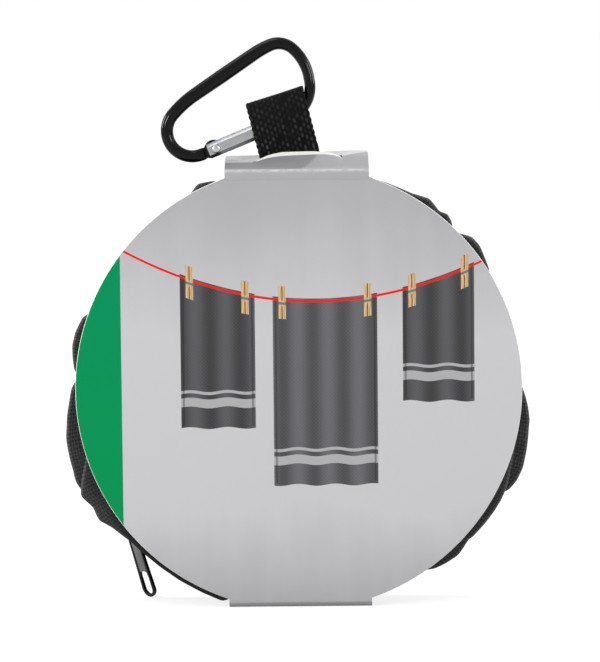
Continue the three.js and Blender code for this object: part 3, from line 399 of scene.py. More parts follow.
def settle(piece):
    """Replaces a piece's mesh by the result of its modifiers."""
    graph = bpy.context.evaluated_depsgraph_get()
    done = bpy.data.meshes.new_from_object(piece.evaluated_get(graph))
    piece.modifiers.clear()
    old = piece.data
    piece.data = done
    bpy.data.meshes.remove(old)
    return piece


def bevel(piece, width, segments=2, angle=35):
    step = piece.modifiers.new("bevel", "BEVEL")
    step.width = width * MM
    step.segments = segments
    step.limit_method = "ANGLE"
    step.angle_limit = math.radians(angle)
    step.harden_normals = False
    return settle(piece)


def shade_by_angle(piece, angle):
    """Smooth faces with sharp edges where the surface turns by more than an angle."""
    piece.data.set_sharp_from_angle(angle=math.radians(angle))
    return piece


def carve(piece, *cutters):
    for cutter in cutters:
        step = piece.modifiers.new("carve", "BOOLEAN")
        step.operation = "DIFFERENCE"
        step.solver = "EXACT"
        step.object = cutter
    bpy.context.view_layer.update()
    settle(piece)
    for cutter in cutters:
        bpy.data.objects.remove(cutter)
    return piece


def thicken(piece, thickness):
    step = piece.modifiers.new("thicken", "SOLIDIFY")
    step.thickness = thickness * MM
    step.offset = 0
    step.use_rim = True
    step.material_offset_rim = 1
    step.use_quality_normals = True
    return settle(piece)


def place_frame(origin, along, across, up):
    """Matrix that takes local millimetre points to the shared frame."""
    matrix = np.eye(4)
    matrix[:3, 0], matrix[:3, 1], matrix[:3, 2], matrix[:3, 3] = along, across, up, origin
    return matrix


def moved(matrix, points):
    points = np.asarray(points, float)
    return points @ matrix[:3, :3].T + matrix[:3, 3]


def run_along(line):
    """Length so far at each point of a line."""
    return np.concatenate([[0], np.cumsum(np.linalg.norm(np.diff(line, axis=0), axis=1))])


def directions(line):
    """Unit direction of a line at each of its points."""
    tangent = np.gradient(line, axis=0)
    return tangent / np.linalg.norm(tangent, axis=1)[:, None]


def moved_rings(matrix, rings):
    rings = np.asarray(rings, float)
    return moved(matrix, rings.reshape(-1, 3)).reshape(rings.shape)


def eased(piece, width, segments, angle=40):
    """Bevels a piece's sharp edges and shades it by the same angle."""
    return shade_by_angle(bevel(piece, width, segments, angle), angle)


def prism(name, outline, low, high, matrix, materials):
    """Flat outline in X and Y of a local frame, thickened along its Z."""
    count = len(outline)
    points = [(x, y, z) for z in (low, high) for x, y in outline]
    faces, _ = grid(2, count, False, True)
    faces.append(tuple(range(count))[::-1])
    faces.append(tuple(range(count, 2 * count)))
    return build(name, moved(matrix, points), faces, materials)


# Material helpers


def linear(red, green, blue):
    """Scene-linear colour of an 8-bit display colour."""

    def level(value):
        value /= 255
        return value / 12.92 if value <= 0.04045 else ((value + 0.055) / 1.055) ** 2.4

    return (level(red), level(green), level(blue), 1.0)


def grey(level, bluer=0):
    return linear(level, level, level + bluer)


class Field:
    """A number that varies over a surface, written with ordinary arithmetic."""

    def __init__(self, tree, socket):
        self.tree = tree
        self.socket = socket

    def math(self, operation, *others, clamp=False):
        node = self.tree.nodes.new("ShaderNodeMath")
        node.operation = operation
        node.use_clamp = clamp
        for slot, item in zip(node.inputs, (self, *others)):
            if isinstance(item, Field):
                self.tree.links.new(item.socket, slot)
            else:
                slot.default_value = item
        return Field(self.tree, node.outputs[0])

    def __rsub__(self, other):
        return self.math("MULTIPLY", -1.0).math("ADD", other)

    __add__ = __radd__ = partialmethod(math, "ADD")
    __sub__ = partialmethod(math, "SUBTRACT")
    __mul__ = __rmul__ = partialmethod(math, "MULTIPLY")
    __truediv__ = partialmethod(math, "DIVIDE")
    abs = partialmethod(math, "ABSOLUTE")
    sin = partialmethod(math, "SINE")
    fraction = partialmethod(math, "FRACT")
    floor = partialmethod(math, "FLOOR")
    sqrt = partialmethod(math, "SQRT")
    low = partialmethod(math, "MINIMUM")
    high = partialmethod(math, "MAXIMUM")

    def unit(self):
        return self.math("ADD", 0.0, clamp=True)

    def odd(self):
        return (self * 0.5).fraction() * 2.0


class Finish:
    """A Principled material with fields on its surface."""

    def __init__(self, name, colour, roughness, metallic=0.0, specular=0.5):
        self.material = bpy.data.materials.new(name)
        self.material.use_nodes = True
        self.tree = self.material.node_tree
        self.shader = self.tree.nodes["Principled BSDF"]
        self.shader.inputs["Base Color"].default_value = colour
        self.shader.inputs["Roughness"].default_value = roughness
        self.shader.inputs["Metallic"].default_value = metallic
        self.shader.inputs["Specular IOR Level"].default_value = specular
        self.material.diffuse_color = colour

    def node(self, kind, **settings):
        node = self.tree.nodes.new(kind)
        for key, value in settings.items():
            setattr(node, key, value)
        return node

    def place(self):
        """Fields of X, Y and Z in millimetres."""
        coordinates = self.node("ShaderNodeTexCoord")
        parts = self.node("ShaderNodeSeparateXYZ")
        self.tree.links.new(coordinates.outputs["Object"], parts.inputs[0])
        return [Field(self.tree, parts.outputs[k]) * (1 / MM) for k in range(3)]

    def flow(self):
        """Fields of the length along and across a cloth, in millimetres."""
        coordinates = self.node("ShaderNodeUVMap", uv_map="flow")
        parts = self.node("ShaderNodeSeparateXYZ")
        self.tree.links.new(coordinates.outputs[0], parts.inputs[0])
        return [Field(self.tree, parts.outputs[k]) for k in range(2)]

    def noise(self, x, y, z, detail=2.0):
        """Soft noise from 0 to 1 at a place given by fields or numbers."""
        joined = self.node("ShaderNodeCombineXYZ")
        for slot, item in zip(joined.inputs, (x, y, z)):
            if isinstance(item, Field):
                self.tree.links.new(item.socket, slot)
            else:
                slot.default_value = item
        texture = self.node("ShaderNodeTexNoise")
        texture.inputs["Scale"].default_value = 1.0
        texture.inputs["Detail"].default_value = detail
        self.tree.links.new(joined.outputs[0], texture.inputs["Vector"])
        return Field(self.tree, texture.outputs["Fac"])

    def mix(self, share, first, second):
        """Colour between two, each a socket or a colour."""
        node = self.node("ShaderNodeMix", data_type="RGBA")
        self.tree.links.new(share.socket, node.inputs["Factor"])
        for slot, item in ((node.inputs[6], first), (node.inputs[7], second)):
            if isinstance(item, tuple):
                slot.default_value = item
            else:
                self.tree.links.new(item, slot)
        return node.outputs[2]

    def ramp(self, share, stops):
        node = self.node("ShaderNodeValToRGB")
        points = node.color_ramp.elements
        while len(points) < len(stops):
            points.new(0.5)
        for point, (place, colour) in zip(points, stops):
            point.position = place
            point.color = colour
        self.tree.links.new(share.socket, node.inputs["Fac"])
        return node.outputs["Color"]

    def colour(self, socket):
        self.tree.links.new(socket, self.shader.inputs["Base Color"])

    def roughness(self, field):
        self.tree.links.new(field.socket, self.shader.inputs["Roughness"])

    def bump(self, field, depth, strength=1.0):
        """Relief of a field from 0 to 1, with its depth in millimetres."""
        node = self.node("ShaderNodeBump")
        node.inputs["Strength"].default_value = strength
        node.inputs["Distance"].default_value = depth * MM
        self.tree.links.new(field.socket, node.inputs["Height"])
        self.tree.links.new(node.outputs[0], self.shader.inputs["Normal"])


# Finishes


def weave(finish, along_pitch, across_pitch):
    """Height from 0 to 1 of threads that pass over and under each other."""
    along, across = finish.flow()
    column = along / along_pitch
    row = across / across_pitch
    over = (column.floor() + row.floor()).odd()
    warp = column.fraction() * 2.0 - 1.0
    weft = row.fraction() * 2.0 - 1.0
    warp = (1.0 - warp * warp) * (over * 0.55 + 0.45)
    weft = (1.0 - weft * weft) * (1.0 - over * 0.55)
    return warp.high(weft)


def cloth(name, dark, light, along_pitch, across_pitch, depth, roughness=0.85, folded=False):
    """Woven cloth. A folded one has painted shade: darker away from the outer edges of its folds, in the
    crevices between them, and paler on those edges.
    """
    finish = Finish(name, light, roughness, specular=0.15)
    threads = weave(finish, along_pitch, across_pitch)
    x, y, z = finish.place()
    patches = finish.noise(x * 0.12, y * 0.3, z * 0.12, 3.0)
    strands = finish.noise(x * 2.1, y * 2.1, z * 2.1, 1.0)
    share = threads * (strands * 0.9 + 0.35) * (patches * 0.8 + 0.6)
    if folded:
        # Painted shade in the crevices between folds, with the outer fold edges paler
        edge = finish.node("ShaderNodeAttribute", attribute_name="fold_edge_shade")
        share = share * (Field(finish.tree, edge.outputs["Fac"]) * 0.6 + 0.6)
    finish.colour(finish.mix(share.unit(), dark, light))
    finish.bump(threads, depth, 0.9)
    finish.shader.inputs["Sheen Weight"].default_value = 0.04
    finish.shader.inputs["Sheen Roughness"].default_value = 0.45
    return finish.material


FABRIC = cloth("fabric_weave", grey(12, 1), linear(70, 69, 71), 1.0, 0.8, 0.2)
FOLD_SHADED_FABRIC = cloth("fabric_fold_shade", grey(12, 1), linear(92, 91, 93), 1.0, 0.8, 0.2, folded=True)
BINDING = cloth("binding_rib", grey(13, 1), grey(46, 2), 0.9, 0.42, 0.12)
TAPE = cloth("tape_twill", grey(12, 1), grey(42, 2), 0.5, 0.38, 0.1)


def webbing_finish():
    finish = Finish("webbing", grey(20, 1), 0.8, specular=0.1)
    along, across = finish.flow()
    column = across / WEB_COLUMN
    row = along / WEB_ROW + column.floor().odd() * 0.5
    side = (column.fraction() - 0.5) / 0.4
    end = (row.fraction() - 0.5) / 0.44
    speck = (1.0 - side * side - end * end).unit()
    strand = (along * 9.0 + (across * 21.0).sin()).sin() * 0.5 + 0.5
    chance = finish.noise(column.floor() * 1.73, row.floor() * 2.37, 4.0, 0.0)
    wear = finish.noise(along * 0.3, across * 0.3, 0.0, 3.0)
    # Painted shade: the specks are dimmed from about 11 mm along, over the fold and down the back leg
    painted_fold_shade = ((20.0 - along) / 9.0).unit() * 0.6 + 0.4
    shown = ((chance - 0.28) * 2.4).unit() * (wear * 0.8 + 0.45) * painted_fold_shade
    finish.colour(
        finish.mix(
            (speck * (strand * 0.35 + 0.75) * shown).unit(),
            grey(7, 1),
            grey(80, 3),
        )
    )
    finish.bump(speck.sqrt() * 0.8 + strand * 0.2, 0.12, 0.8)
    finish.shader.inputs["Sheen Weight"].default_value = 0.02
    finish.shader.inputs["Sheen Roughness"].default_value = 0.5
    return finish.material


WEBBING = webbing_finish()


def gloss_black():
    finish = Finish("gloss_black", grey(6, 1), 0.12, specular=0.15)
    x, y, z = finish.place()
    flow = finish.noise(x * 0.5, y * 0.5, z * 0.5, 3.0)
    rub = finish.noise(x * 3.0, y * 3.0, z * 3.0, 2.0)
    finish.roughness(flow * 0.08 + rub * 0.03 + 0.1)
    finish.colour(finish.mix((rub - 0.66).unit() * 0.8, grey(5, 1), grey(26, 2)))
    finish.bump(flow, 0.002, 0.2)
    return finish.material


GLOSS = gloss_black()


def brushed(name, dark, light, along_axis, roughness):
    """Metal with fine scratches along a direction."""
    finish = Finish(name, light, roughness, metallic=1.0)
    x, y, z = finish.place()
    run = x * along_axis[0] + y * along_axis[1] + z * along_axis[2]
    cross = z * along_axis[0] - x * along_axis[2]
    lines = finish.noise(run * 0.08, cross * 7.0, y * 7.0, 4.0)
    cloud = finish.noise(x * 0.4, y * 0.4, z * 0.4, 3.0)
    finish.colour(finish.mix((lines * 0.9 + cloud * 0.4 - 0.2).unit(), dark, light))
    finish.roughness(lines * 0.14 + cloud * 0.1 + roughness - 0.1)
    finish.bump(lines, 0.006, 0.4)
    return finish.material


GATE_AXIS = (math.cos(math.radians(GATE_TILT)), 0.0, math.sin(math.radians(GATE_TILT)))
ALUMINIUM = brushed("brushed_aluminium", linear(128, 129, 132), linear(188, 189, 192), GATE_AXIS, 0.3)
STEEL = brushed("turned_steel", linear(150, 151, 153), linear(206, 207, 209), (0.0, 0.0, 1.0), 0.3)


def moulded(name, dark, light, roughness, grain):
    """Moulded plastic or painted face with a fine grain."""
    finish = Finish(name, light, roughness, specular=0.4)
    x, y, z = finish.place()
    fine = finish.noise(x * grain, y * grain, z * grain, 3.0)
    broad = finish.noise(x * 0.25, y * 0.25, z * 0.25, 2.0)
    finish.colour(finish.mix((fine * 0.6 + broad * 0.6 - 0.1).unit(), dark, light))
    finish.roughness(fine * 0.2 + roughness - 0.1)
    finish.bump(fine, 0.03, 0.5)
    return finish.material


TEETH = moulded("moulded_black", grey(15, 1), grey(42, 2), 0.42, 4.0)
INLAY = moulded("grey_inlay", grey(84, 2), grey(122, 2), 0.55, 5.0)
THREAD = moulded("thread", grey(30, 2), grey(86, 4), 0.8, 6.0)
# White core of the card for cut edges, also used as painted light on the lip's turned-up edge
CORE_AND_LIP_LIGHT = moulded("card_core_and_lip_light", linear(226, 225, 222), linear(247, 246, 243), 0.75, 3.0)
BOARD = moulded("card_board", linear(176, 172, 164), linear(208, 204, 196), 0.8, 2.0)


def grey_paper(finish, x, z):
    """Grey of the card, palest at its middle height and darker towards the top and the bottom."""
    streak = finish.noise(x * 0.11, z * 0.012, 0.0, 2.0)
    cloud = finish.noise(x * 0.022, z * 0.022, 3.0, 2.0)
    height = (z / 150.0 + (cloud - 0.5) * 0.16 + (streak - 0.5) * 0.1).unit()
    return finish.ramp(
        height,
        (
            (0.0, linear(177, 176, 179)),
            (0.23, linear(205, 204, 207)),
            (0.62, linear(205, 204, 207)),
            (0.88, linear(182, 181, 184)),
            (1.0, linear(175, 174, 177)),
        ),
    )


def paper_grain(finish, x, y, z):
    fibre = finish.noise(x * 1.6, y * 1.6, z * 1.6, 3.0)
    finish.roughness(fibre * 0.1 + 0.36)
    finish.bump(fibre, 0.012, 0.4)


def card_print():
    finish = Finish("card_print", grey(192, 2), 0.42, specular=0.1)
    x, y, z = finish.place()
    paper = grey_paper(finish, x, z)

    def inside(distance):
        return (distance / SOFT_EDGE + 0.5).unit()

    from_middle = x - LINE_MIDDLE_X
    line_z = from_middle * from_middle * LINE_SAG + LINE_LOW_Z
    sheet = paper
    for centre, half, drop, tone in TOWELS:
        local = x - centre
        hem = LINE_LOW_Z + LINE_SAG * (centre - LINE_MIDDLE_X) ** 2 - drop
        bottom = z - hem - (local * 0.5).sin() * 0.35
        top = line_z + 0.9 - z
        shape = inside((half - local.abs()).low(bottom).low(top))
        fold = (local * 0.62 + tone).sin() * 0.5 + 0.5
        thread = (x * 5.2).sin() * (z * 5.2).sin() * 0.5 + 0.5
        base = finish.mix(
            (fold * 0.75 + thread * 0.25).unit(),
            grey(60 + 14 * tone, 3),
            grey(96 + 16 * tone, 4),
        )
        band = inside(1.5 - (bottom - 8.5).abs()).high(inside(0.5 - (bottom - 12.0).abs()))
        base = finish.mix(band * 0.85, base, grey(188, 2))
        edge = inside(0.35 - (half - 0.9 - local.abs()).abs()) * inside(bottom - 0.9)
        base = finish.mix(edge * 0.5, base, grey(40, 2))
        sheet = finish.mix(shape, sheet, base)
    line = inside(LINE_HALF - (z - line_z).abs()) * inside(x - GREEN_EDGE_X)
    sheet = finish.mix(line, sheet, linear(236, 38, 26))
    for centre, half, _, _ in TOWELS:
        for side in (-1, 1):
            local = x - (centre + side * (half - PEG_INSET))
            rise = z - line_z
            shape = inside((PEG_HALF - local.abs()).low(rise + PEG_DOWN).low(PEG_UP - rise))
            grain = (local * 6.0 + (z * 0.9).sin()).sin() * 0.5 + 0.5
            wood = finish.mix(grain, linear(196, 160, 112), linear(222, 192, 148))
            gap = inside(0.16 - local.abs()) * inside((rise + 1.2).abs() - 1.0)
            wood = finish.mix(gap, wood, linear(96, 70, 44))
            spring = inside(0.42 - (rise + 1.2).abs())
            wood = finish.mix(spring, wood, linear(120, 122, 126))
            sheet = finish.mix(shape, sheet, wood)
    green = finish.mix((z / 148.0).unit(), linear(0, 149, 78), linear(0, 143, 95))
    sheet = finish.mix(inside(GREEN_EDGE_X - x), sheet, green)
    finish.colour(sheet)
    paper_grain(finish, x, y, z)
    return finish.material


PRINT = card_print()


def band_print_and_painted_light():
    """Grey of the folded bands: painted shade on the bridges, painted light where the top bridge runs back,
    white along the top fold.
    """
    finish = Finish("band_print_and_painted_light", grey(190, 2), 0.42, specular=0.1)
    x, y, z = finish.place()
    upper = ((z - 70.0) / 4.0).unit()
    front = finish.mix(upper, grey(162, 2), grey(170, 2))
    patch = finish.noise(x * 0.06, y * 0.2, z * 0.1, 3.0)
    depth = y - FRONT_Y
    # Painted shade and light: the bridge is split along a slanting line into a darker shaded facet and a
    # lighter lit facet
    lit_facet = ((x - 3.0 - (depth - 4.0) * 0.8) / 1.5).unit()
    shaded = finish.mix(patch, grey(130, 3), grey(148, 3))
    bridge = finish.mix(lit_facet, shaded, finish.mix(patch, grey(156, 3), grey(172, 3)))
    # Painted light: the back of the top bridge is pale, as a top surface lit from above
    pale = finish.mix(patch, grey(200, 1), grey(216))
    turned = ((depth - 0.9) / 0.35).unit()
    border = ((x - 14.0) / 10.0).unit() * 9.0 + ((x + 15.0) / 1.5).unit() * 2.2
    behind = ((depth - border - 7.2) / 0.8).unit()
    # Painted shade: the bridges, from just behind the front folds, are darker than the front
    sheet = finish.mix(turned, front, bridge)
    sheet = finish.mix(behind, sheet, pale)
    # Whiter in noisy patches along the top front fold
    rub = finish.noise(x * 0.5, y * 2.0, z * 2.0, 3.0)
    fold_white = (1.0 - ((depth - 0.75) / 0.3).abs()).unit() * ((rub - 0.3) * 2.2).unit() * upper
    finish.colour(finish.mix(fold_white, sheet, grey(222)))
    paper_grain(finish, x, y, z)
    return finish.material


SLEEVE = band_print_and_painted_light()


# Card sleeve


def bridge_z(y):
    return FOLD_TOP_Z + BRIDGE_RISE * (y - FRONT_Y) / PACK_DEPTH


def arc_points(centre, radius, start, end, count):
    turns = np.radians(np.linspace(start, end, count))
    return [(centre[0] + radius * math.cos(t), centre[1] + radius * math.sin(t)) for t in turns]


def card_front():
    """Flat disc with straight cuts where the two bridges fold away."""
    shoulder_top = math.degrees(math.acos(TAB_HALF / CARD_RADIUS))
    outline = [(TAB_HALF, CREASE_TOP_Z)]
    outline += arc_points((0, CARD_CENTRE_Z), CARD_RADIUS, shoulder_top, -shoulder_top, 150)
    outline += [(TAB_HALF, CREASE_LOW_Z), (-TAB_HALF, CREASE_LOW_Z)]
    outline += arc_points((0, CARD_CENTRE_Z), CARD_RADIUS, 180 + shoulder_top, 180 - shoulder_top, 150)
    outline += [(-TAB_HALF, CREASE_TOP_Z)]
    count = len(outline)
    points = []
    for inset, depth in ((EDGE_CHAMFER, 0.0), (0.0, EDGE_CHAMFER), (0.0, CARD_THICKNESS)):
        share = 1 - inset / CARD_RADIUS
        for x, z in outline:
            round_edge = CREASE_LOW_Z < z < CREASE_TOP_Z
            scale = share if round_edge else 1.0
            points.append((x * scale, FRONT_Y + depth, CARD_CENTRE_Z + (z - CARD_CENTRE_Z) * scale))
    faces = [tuple(range(count)), tuple(range(2 * count, 3 * count))[::-1]]
    rims, _ = grid(3, count, False, True)
    slots = [0, 2] + [1] * len(rims)
    return build("card_front", points, faces + rims, [PRINT, CORE_AND_LIP_LIGHT, BOARD], smooth=False, face_materials=slots)


def fold(points, corner, start, end, radius, count=7):
    """Adds a rounded fold of a (y, z) line about a centre."""
    points += arc_points(corner, radius, start, end, count)


def finish_card(piece):
    """Gives a sheet of card its thickness, with a pale cut edge."""
    bm = bmesh.new()
    bm.from_mesh(piece.data)
    loose = [v for v in bm.verts if not v.link_faces]
    bmesh.ops.delete(bm, geom=loose, context="VERTS")
    bm.to_mesh(piece.data)
    bm.free()
    thicken(piece, CARD_THICKNESS)
    return shade_by_angle(piece, 50)


def card_band(name, line, lift=None, hole=None):
    """Folded strip of card along a (y, z) line, with a lift of some points and a hole."""
    sections = ((-TAB_HALF, SLIT_LEFT, 9), (SLIT_LEFT, SLIT_RIGHT, 37), (SLIT_RIGHT, TAB_HALF, 8))
    columns = np.unique(np.concatenate([np.linspace(*part) for part in sections]).round(4))
    points = [(x, y, z + (lift(x, y, z) if lift else 0.0)) for y, z in line for x in columns]
    faces, _ = grid(len(line), len(columns))
    if hole:
        faces = [face for face in faces if not hole(np.mean([points[k] for k in face], axis=0))]
    piece = build(name, points, faces, [SLEEVE, CORE_AND_LIP_LIGHT, BOARD], closed=False)
    return finish_card(piece)


def bridge_shape(x, y):
    """Height of the top bridge: steep up to the slit, then flatter, and higher at the right."""
    right = float(smoothstep(x, -20, 22))
    places = (LIP_ROOT, SLIT_FRONT, SLIT_BACK, BACK_Y - 1)
    heights = (148.15, 149.9 + 0.8 * right, 150.45 + 1.5 * right, 151.4 + 1.4 * right)
    height = float(np.interp(y, places, heights))
    if y < SLIT_BACK:
        return height
    ceiling = float(np.interp(y, DIP_PLACES, DIP_HEIGHTS)) + DIP_RISE * max(x - DIP_LEFT, 0)
    from_left = smoothstep(x, DIP_LEFT - 2 * DIP_EASE, DIP_LEFT - DIP_EASE)
    from_right = 1 - smoothstep(x, DIP_RIGHT, DIP_RIGHT + DIP_EASE)
    return height + (min(height, ceiling) - height) * float(from_left * from_right)


def bridge_lift(x, y, z):
    """Takes the plain slope of the top bridge to its real shape, and the back strap with it."""
    if y < LIP_ROOT + 0.01 or z < 100:
        return 0.0
    share = 1.0
    if y > BACK_Y - 1.2:
        share = float(smoothstep(z, 100, 149))
    place = min(y, BACK_Y - 1)
    return (bridge_shape(x, place) - bridge_z(place) + CARD_THICKNESS / 2) * share


def slit_hole(middle):
    x, y, z = middle
    return SLIT_LEFT < x < SLIT_RIGHT and LIP_ROOT < y < SLIT_BACK and z > FOLD_TOP_Z - 2


def soft_line(x, places, heights):
    """Line through a few points, eased at each of them."""
    near = [np.interp(x + shift, places, heights) for shift in (-1.0, -0.5, 0.0, 0.5, 1.0)]
    ends = smoothstep(min(x - places[0], places[-1] - x), 0, 1.5)
    return float(np.mean(near) * ends + near[2] * (1 - ends))


def card_lip():
    """Flap in front of the slit that the strap pushes up, with its edge turned up and painted white as the
    light it catches from above.
    """
    columns = np.linspace(SLIT_LEFT, SLIT_RIGHT, 61)
    shares = np.linspace(0, 1, 12)
    points = []
    for share in shares:
        y = LIP_ROOT + (LIP_CREASE - LIP_ROOT) * share
        for x in columns:
            low = bridge_z(LIP_ROOT) - CARD_THICKNESS / 2
            high = soft_line(x, LIP_PLACES, LIP_CREASE_Z)
            points.append((x, y, low + (high - low) * share ** 1.12))
    for share in (0.2, 0.6, 1.0):
        for x in columns:
            low = soft_line(x, LIP_PLACES, LIP_CREASE_Z)
            high = soft_line(x, LIP_PLACES, LIP_EDGE_Z)
            y = LIP_CREASE + (SLIT_FRONT - LIP_CREASE) * share ** 0.7
            points.append((x, y, low + (high - low) * share))
    rows = len(shares) + 3
    faces, places = grid(rows, len(columns))
    # Painted light: the turned-up edge rows take the white core finish
    slots = [0 if places[4 * k][0] < len(shares) else 1 for k in range(len(faces))]
    piece = build("card_lip", points, faces, [SLEEVE, CORE_AND_LIP_LIGHT, BOARD], face_materials=slots, closed=False)
    return finish_card(piece)


def top_band_line():
    skin = CARD_THICKNESS / 2
    front = FRONT_Y + skin
    back = BACK_Y - skin
    line = [(front, CREASE_TOP_Z), (front + 0.22, CREASE_TOP_Z + 1.2), (front + 0.5, CREASE_TOP_Z + 2.5)]
    fold(line, (front + 1.75, FOLD_TOP_Z - 0.95), 168, 98, 1.1)
    inner = np.concatenate([np.linspace(LIP_ROOT, SLIT_FRONT, 9), np.linspace(SLIT_BACK, BACK_Y - 1.6, 9)])
    line += [(y, bridge_z(y) - skin) for y in inner]
    top = bridge_z(BACK_Y - 1.2) - skin
    fold(line, (back - 1.0, top - 1.0), 82, 4, 1.0)
    line += [(back, z) for z in np.linspace(top - 2.5, LAP_LOW, 12)]
    return line


def low_band_line():
    skin = CARD_THICKNESS / 2
    front = FRONT_Y + skin
    back = BACK_Y - skin
    line = [(front, CREASE_LOW_Z), (front + 0.08, CREASE_LOW_Z - 0.5)]
    fold(line, (front + 1.3, skin + 0.95), 200, 268, 0.95)
    line += [(y, skin) for y in np.linspace(FRONT_Y + 2.4, BACK_Y - 2.0, 9)]
    fold(line, (back - 1.0, skin + 1.0), 275, 356, 1.0)
    heights = np.linspace(3.5, LAP_HIGH, 26)
    step = CARD_THICKNESS + 0.04
    line += [(back + step * float(smoothstep(z, LAP_LOW - 12, LAP_LOW - 2)), z) for z in heights]
    return line


def rides(piece, body, slot, *nodes):
    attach(piece, body)
    if nodes:
        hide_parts(*nodes)
    return piece


rides(card_front(), "pack", "card", "card_sleeve")
rides(card_band("card_top_band", top_band_line(), bridge_lift, slit_hole), "pack", "card")
rides(card_band("card_low_band", low_band_line()), "pack", "card")
lip = rides(card_lip(), "pack", "card")
bridge_z(LIP_ROOT) * MM
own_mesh(lip)


# Bag


def past_rim(angles, corners):
    """How far an outline with slightly softened corners stands past the rim at each angle."""
    places, reaches = zip(*corners)
    shifts = (-0.5, -0.25, 0.0, 0.25, 0.5)
    near = [np.interp(angles + k, places, reaches, left=RIM_RADIUS, right=RIM_RADIUS) for k in shifts]
    return np.maximum(np.mean(near, axis=0) - RIM_RADIUS, 0)


def fold_reach(index, angles):
    """How far an outer fold stands past the rim at each angle."""
    height = np.zeros_like(angles)
    for which, corners in FOLD_OUTLINES:
        if which == index:
            height = np.maximum(height, past_rim(angles, corners))
            height = np.maximum(height, past_rim(angles + 360, corners))
    return height


def ring_noise(angles, scale, seed):
    """Repeatable noise round the bag that closes on itself."""
    turns = np.radians(angles)
    return np.array(
        [noise.noise(Vector((scale * math.cos(t), scale * math.sin(t), seed))) for t in turns]
    )


def pleat_line():
    """Middle line of the pleated tube: radius, y, normal in (radius, y), the fold it swells with,
    the fold it leans with, and how near it is to that fold's outer edge."""
    half = PLEAT_PITCH / 2
    inner = PLEAT_INNER_RADIUS + half
    outer = RIM_RADIUS - half - WALL_THICKNESS / 2
    line = [(SEAM_RADIUS, WALL_Y, 0.0, -1.0, -1, -1, 0.0)]
    for layer in range(PLEAT_COUNT - 1):
        inward = layer % 2 == 0
        side = -1 if inward else 1
        centre = inner if inward else outer
        middle = WALL_Y + PLEAT_PITCH * (layer + 0.5)
        leans = (layer - 1) // 2
        index = -1 if inward else leans
        for radius in np.linspace(line[-1][0], centre, 7)[1:-1]:
            line.append((radius, middle - half, 0.0, float(side), index, leans, 0.0))
        for turn in np.linspace(0, math.pi, 7 if inward else 11):
            out, along = math.sin(turn), -math.cos(turn)
            place = (centre + side * half * out, middle + half * along, -out, -side * along)
            line.append((*place, index, leans, 0.0 if inward else out))
    for radius in np.linspace(line[-1][0], SEAM_RADIUS, 6)[1:]:
        line.append((radius, WALL_Y + PLEAT_PITCH * (PLEAT_COUNT - 1), 0.0, 1.0, -1, -1, 0.0))
    return line


def bag_wall():
    steps = 540
    angles = np.arange(steps) * 360.0 / steps
    swell = [fold_reach(k, angles) for k in range(2)]
    ripple = [
        ring_noise(angles, 7.0, 3.1 + k) * 0.7 + ring_noise(angles, 19.0, 7.7 + k) * 0.3 for k in range(2)
    ]
    wave = [ring_noise(angles, 7.0, 11.3 + k) for k in range(2)]
    turns = np.radians(angles)
    sway = np.clip(1.5 * np.sin(LEAN_COUNT * turns + 0.6 * np.sin(3 * turns)), -1, 1) * LEAN
    lean = (sway, -sway)
    sides = []
    line = pleat_line()
    for sign in (1, -1):
        for radius, y, normal_r, normal_y, index, leans, _ in line:
            base = radius + sign * WALL_THICKNESS / 2 * normal_r
            height = y + sign * WALL_THICKNESS / 2 * normal_y
            radii = np.full(steps, base)
            heights = np.full(steps, height)
            if index >= 0:
                share = float(smoothstep(base, PLEAT_ROOT_RADIUS, RIM_RADIUS))
                middle = WALL_Y + PLEAT_PITCH * (2 * index + 1.5)
                rise = swell[index] * share
                radii = radii + rise + ripple[index] * share * (0.14 + 0.04 * swell[index])
                open_up = 1 + 0.13 * np.maximum(rise - 1.0, 0)
                heights = middle + (heights - middle) * open_up
                heights = heights + wave[index] * share * np.minimum(rise, 4) * 0.16
            if leans >= 0:
                share = smoothstep(base, PLEAT_INNER_RADIUS + 1, PLEAT_ROOT_RADIUS + 4)
                heights = heights + lean[leans] * float(share)
            sides.append(around(angles, radii, heights))
    count = len(line)
    ring = sides[:count] + sides[count:][::-1]
    rings = np.stack(ring, axis=1)
    tube = loft("tube_cloth", rings, [FOLD_SHADED_FABRIC], wrap_path=True)
    # Painted shade: how near each point is to a fold's outer edge, which darkens the cloth away from those
    # edges
    near = [place[-1] for place in line]
    edge = tube.data.attributes.new("fold_edge_shade", "FLOAT", "POINT")
    edge.data.foreach_set("value", np.tile(near + near[::-1], steps))
    return tube


def soft_section(low_a, high_a, low_b, high_b, radius, count=5):
    """Closed section with rounded corners, as (a, b) points."""
    corners = (
        (high_a - radius, high_b - radius, 0),
        (low_a + radius, high_b - radius, 90),
        (low_a + radius, low_b + radius, 180),
        (high_a - radius, low_b + radius, 270),
    )
    section = []
    for a, b, start in corners:
        section += arc_points((a, b), radius, start, start + 90, count)
    return section


def ring_piece(name, section, start, end, steps, material, wobble=0.0, seed=1.0, swell=None):
    """Sweeps a section of (radius, y) points about the bag's axis, a little unevenly."""
    full = end - start >= 359.9
    angles = np.linspace(start, end, steps + 1)[: steps if full else None]
    uneven = ring_noise(angles, 14.0, seed) * wobble
    shifted = ring_noise(angles, 10.0, seed + 5) * wobble * 0.6
    proud = past_rim(angles, swell) if swell else 0.0
    ring = []
    for radius, y in section:
        share = float(smoothstep(radius, RIM_RADIUS - RIM_WIDTH, RIM_RADIUS))
        ring.append(around(angles, radius + uneven + proud * share, y + shifted))
    return loft(name, np.stack(ring, axis=1), [material], wrap_path=full)


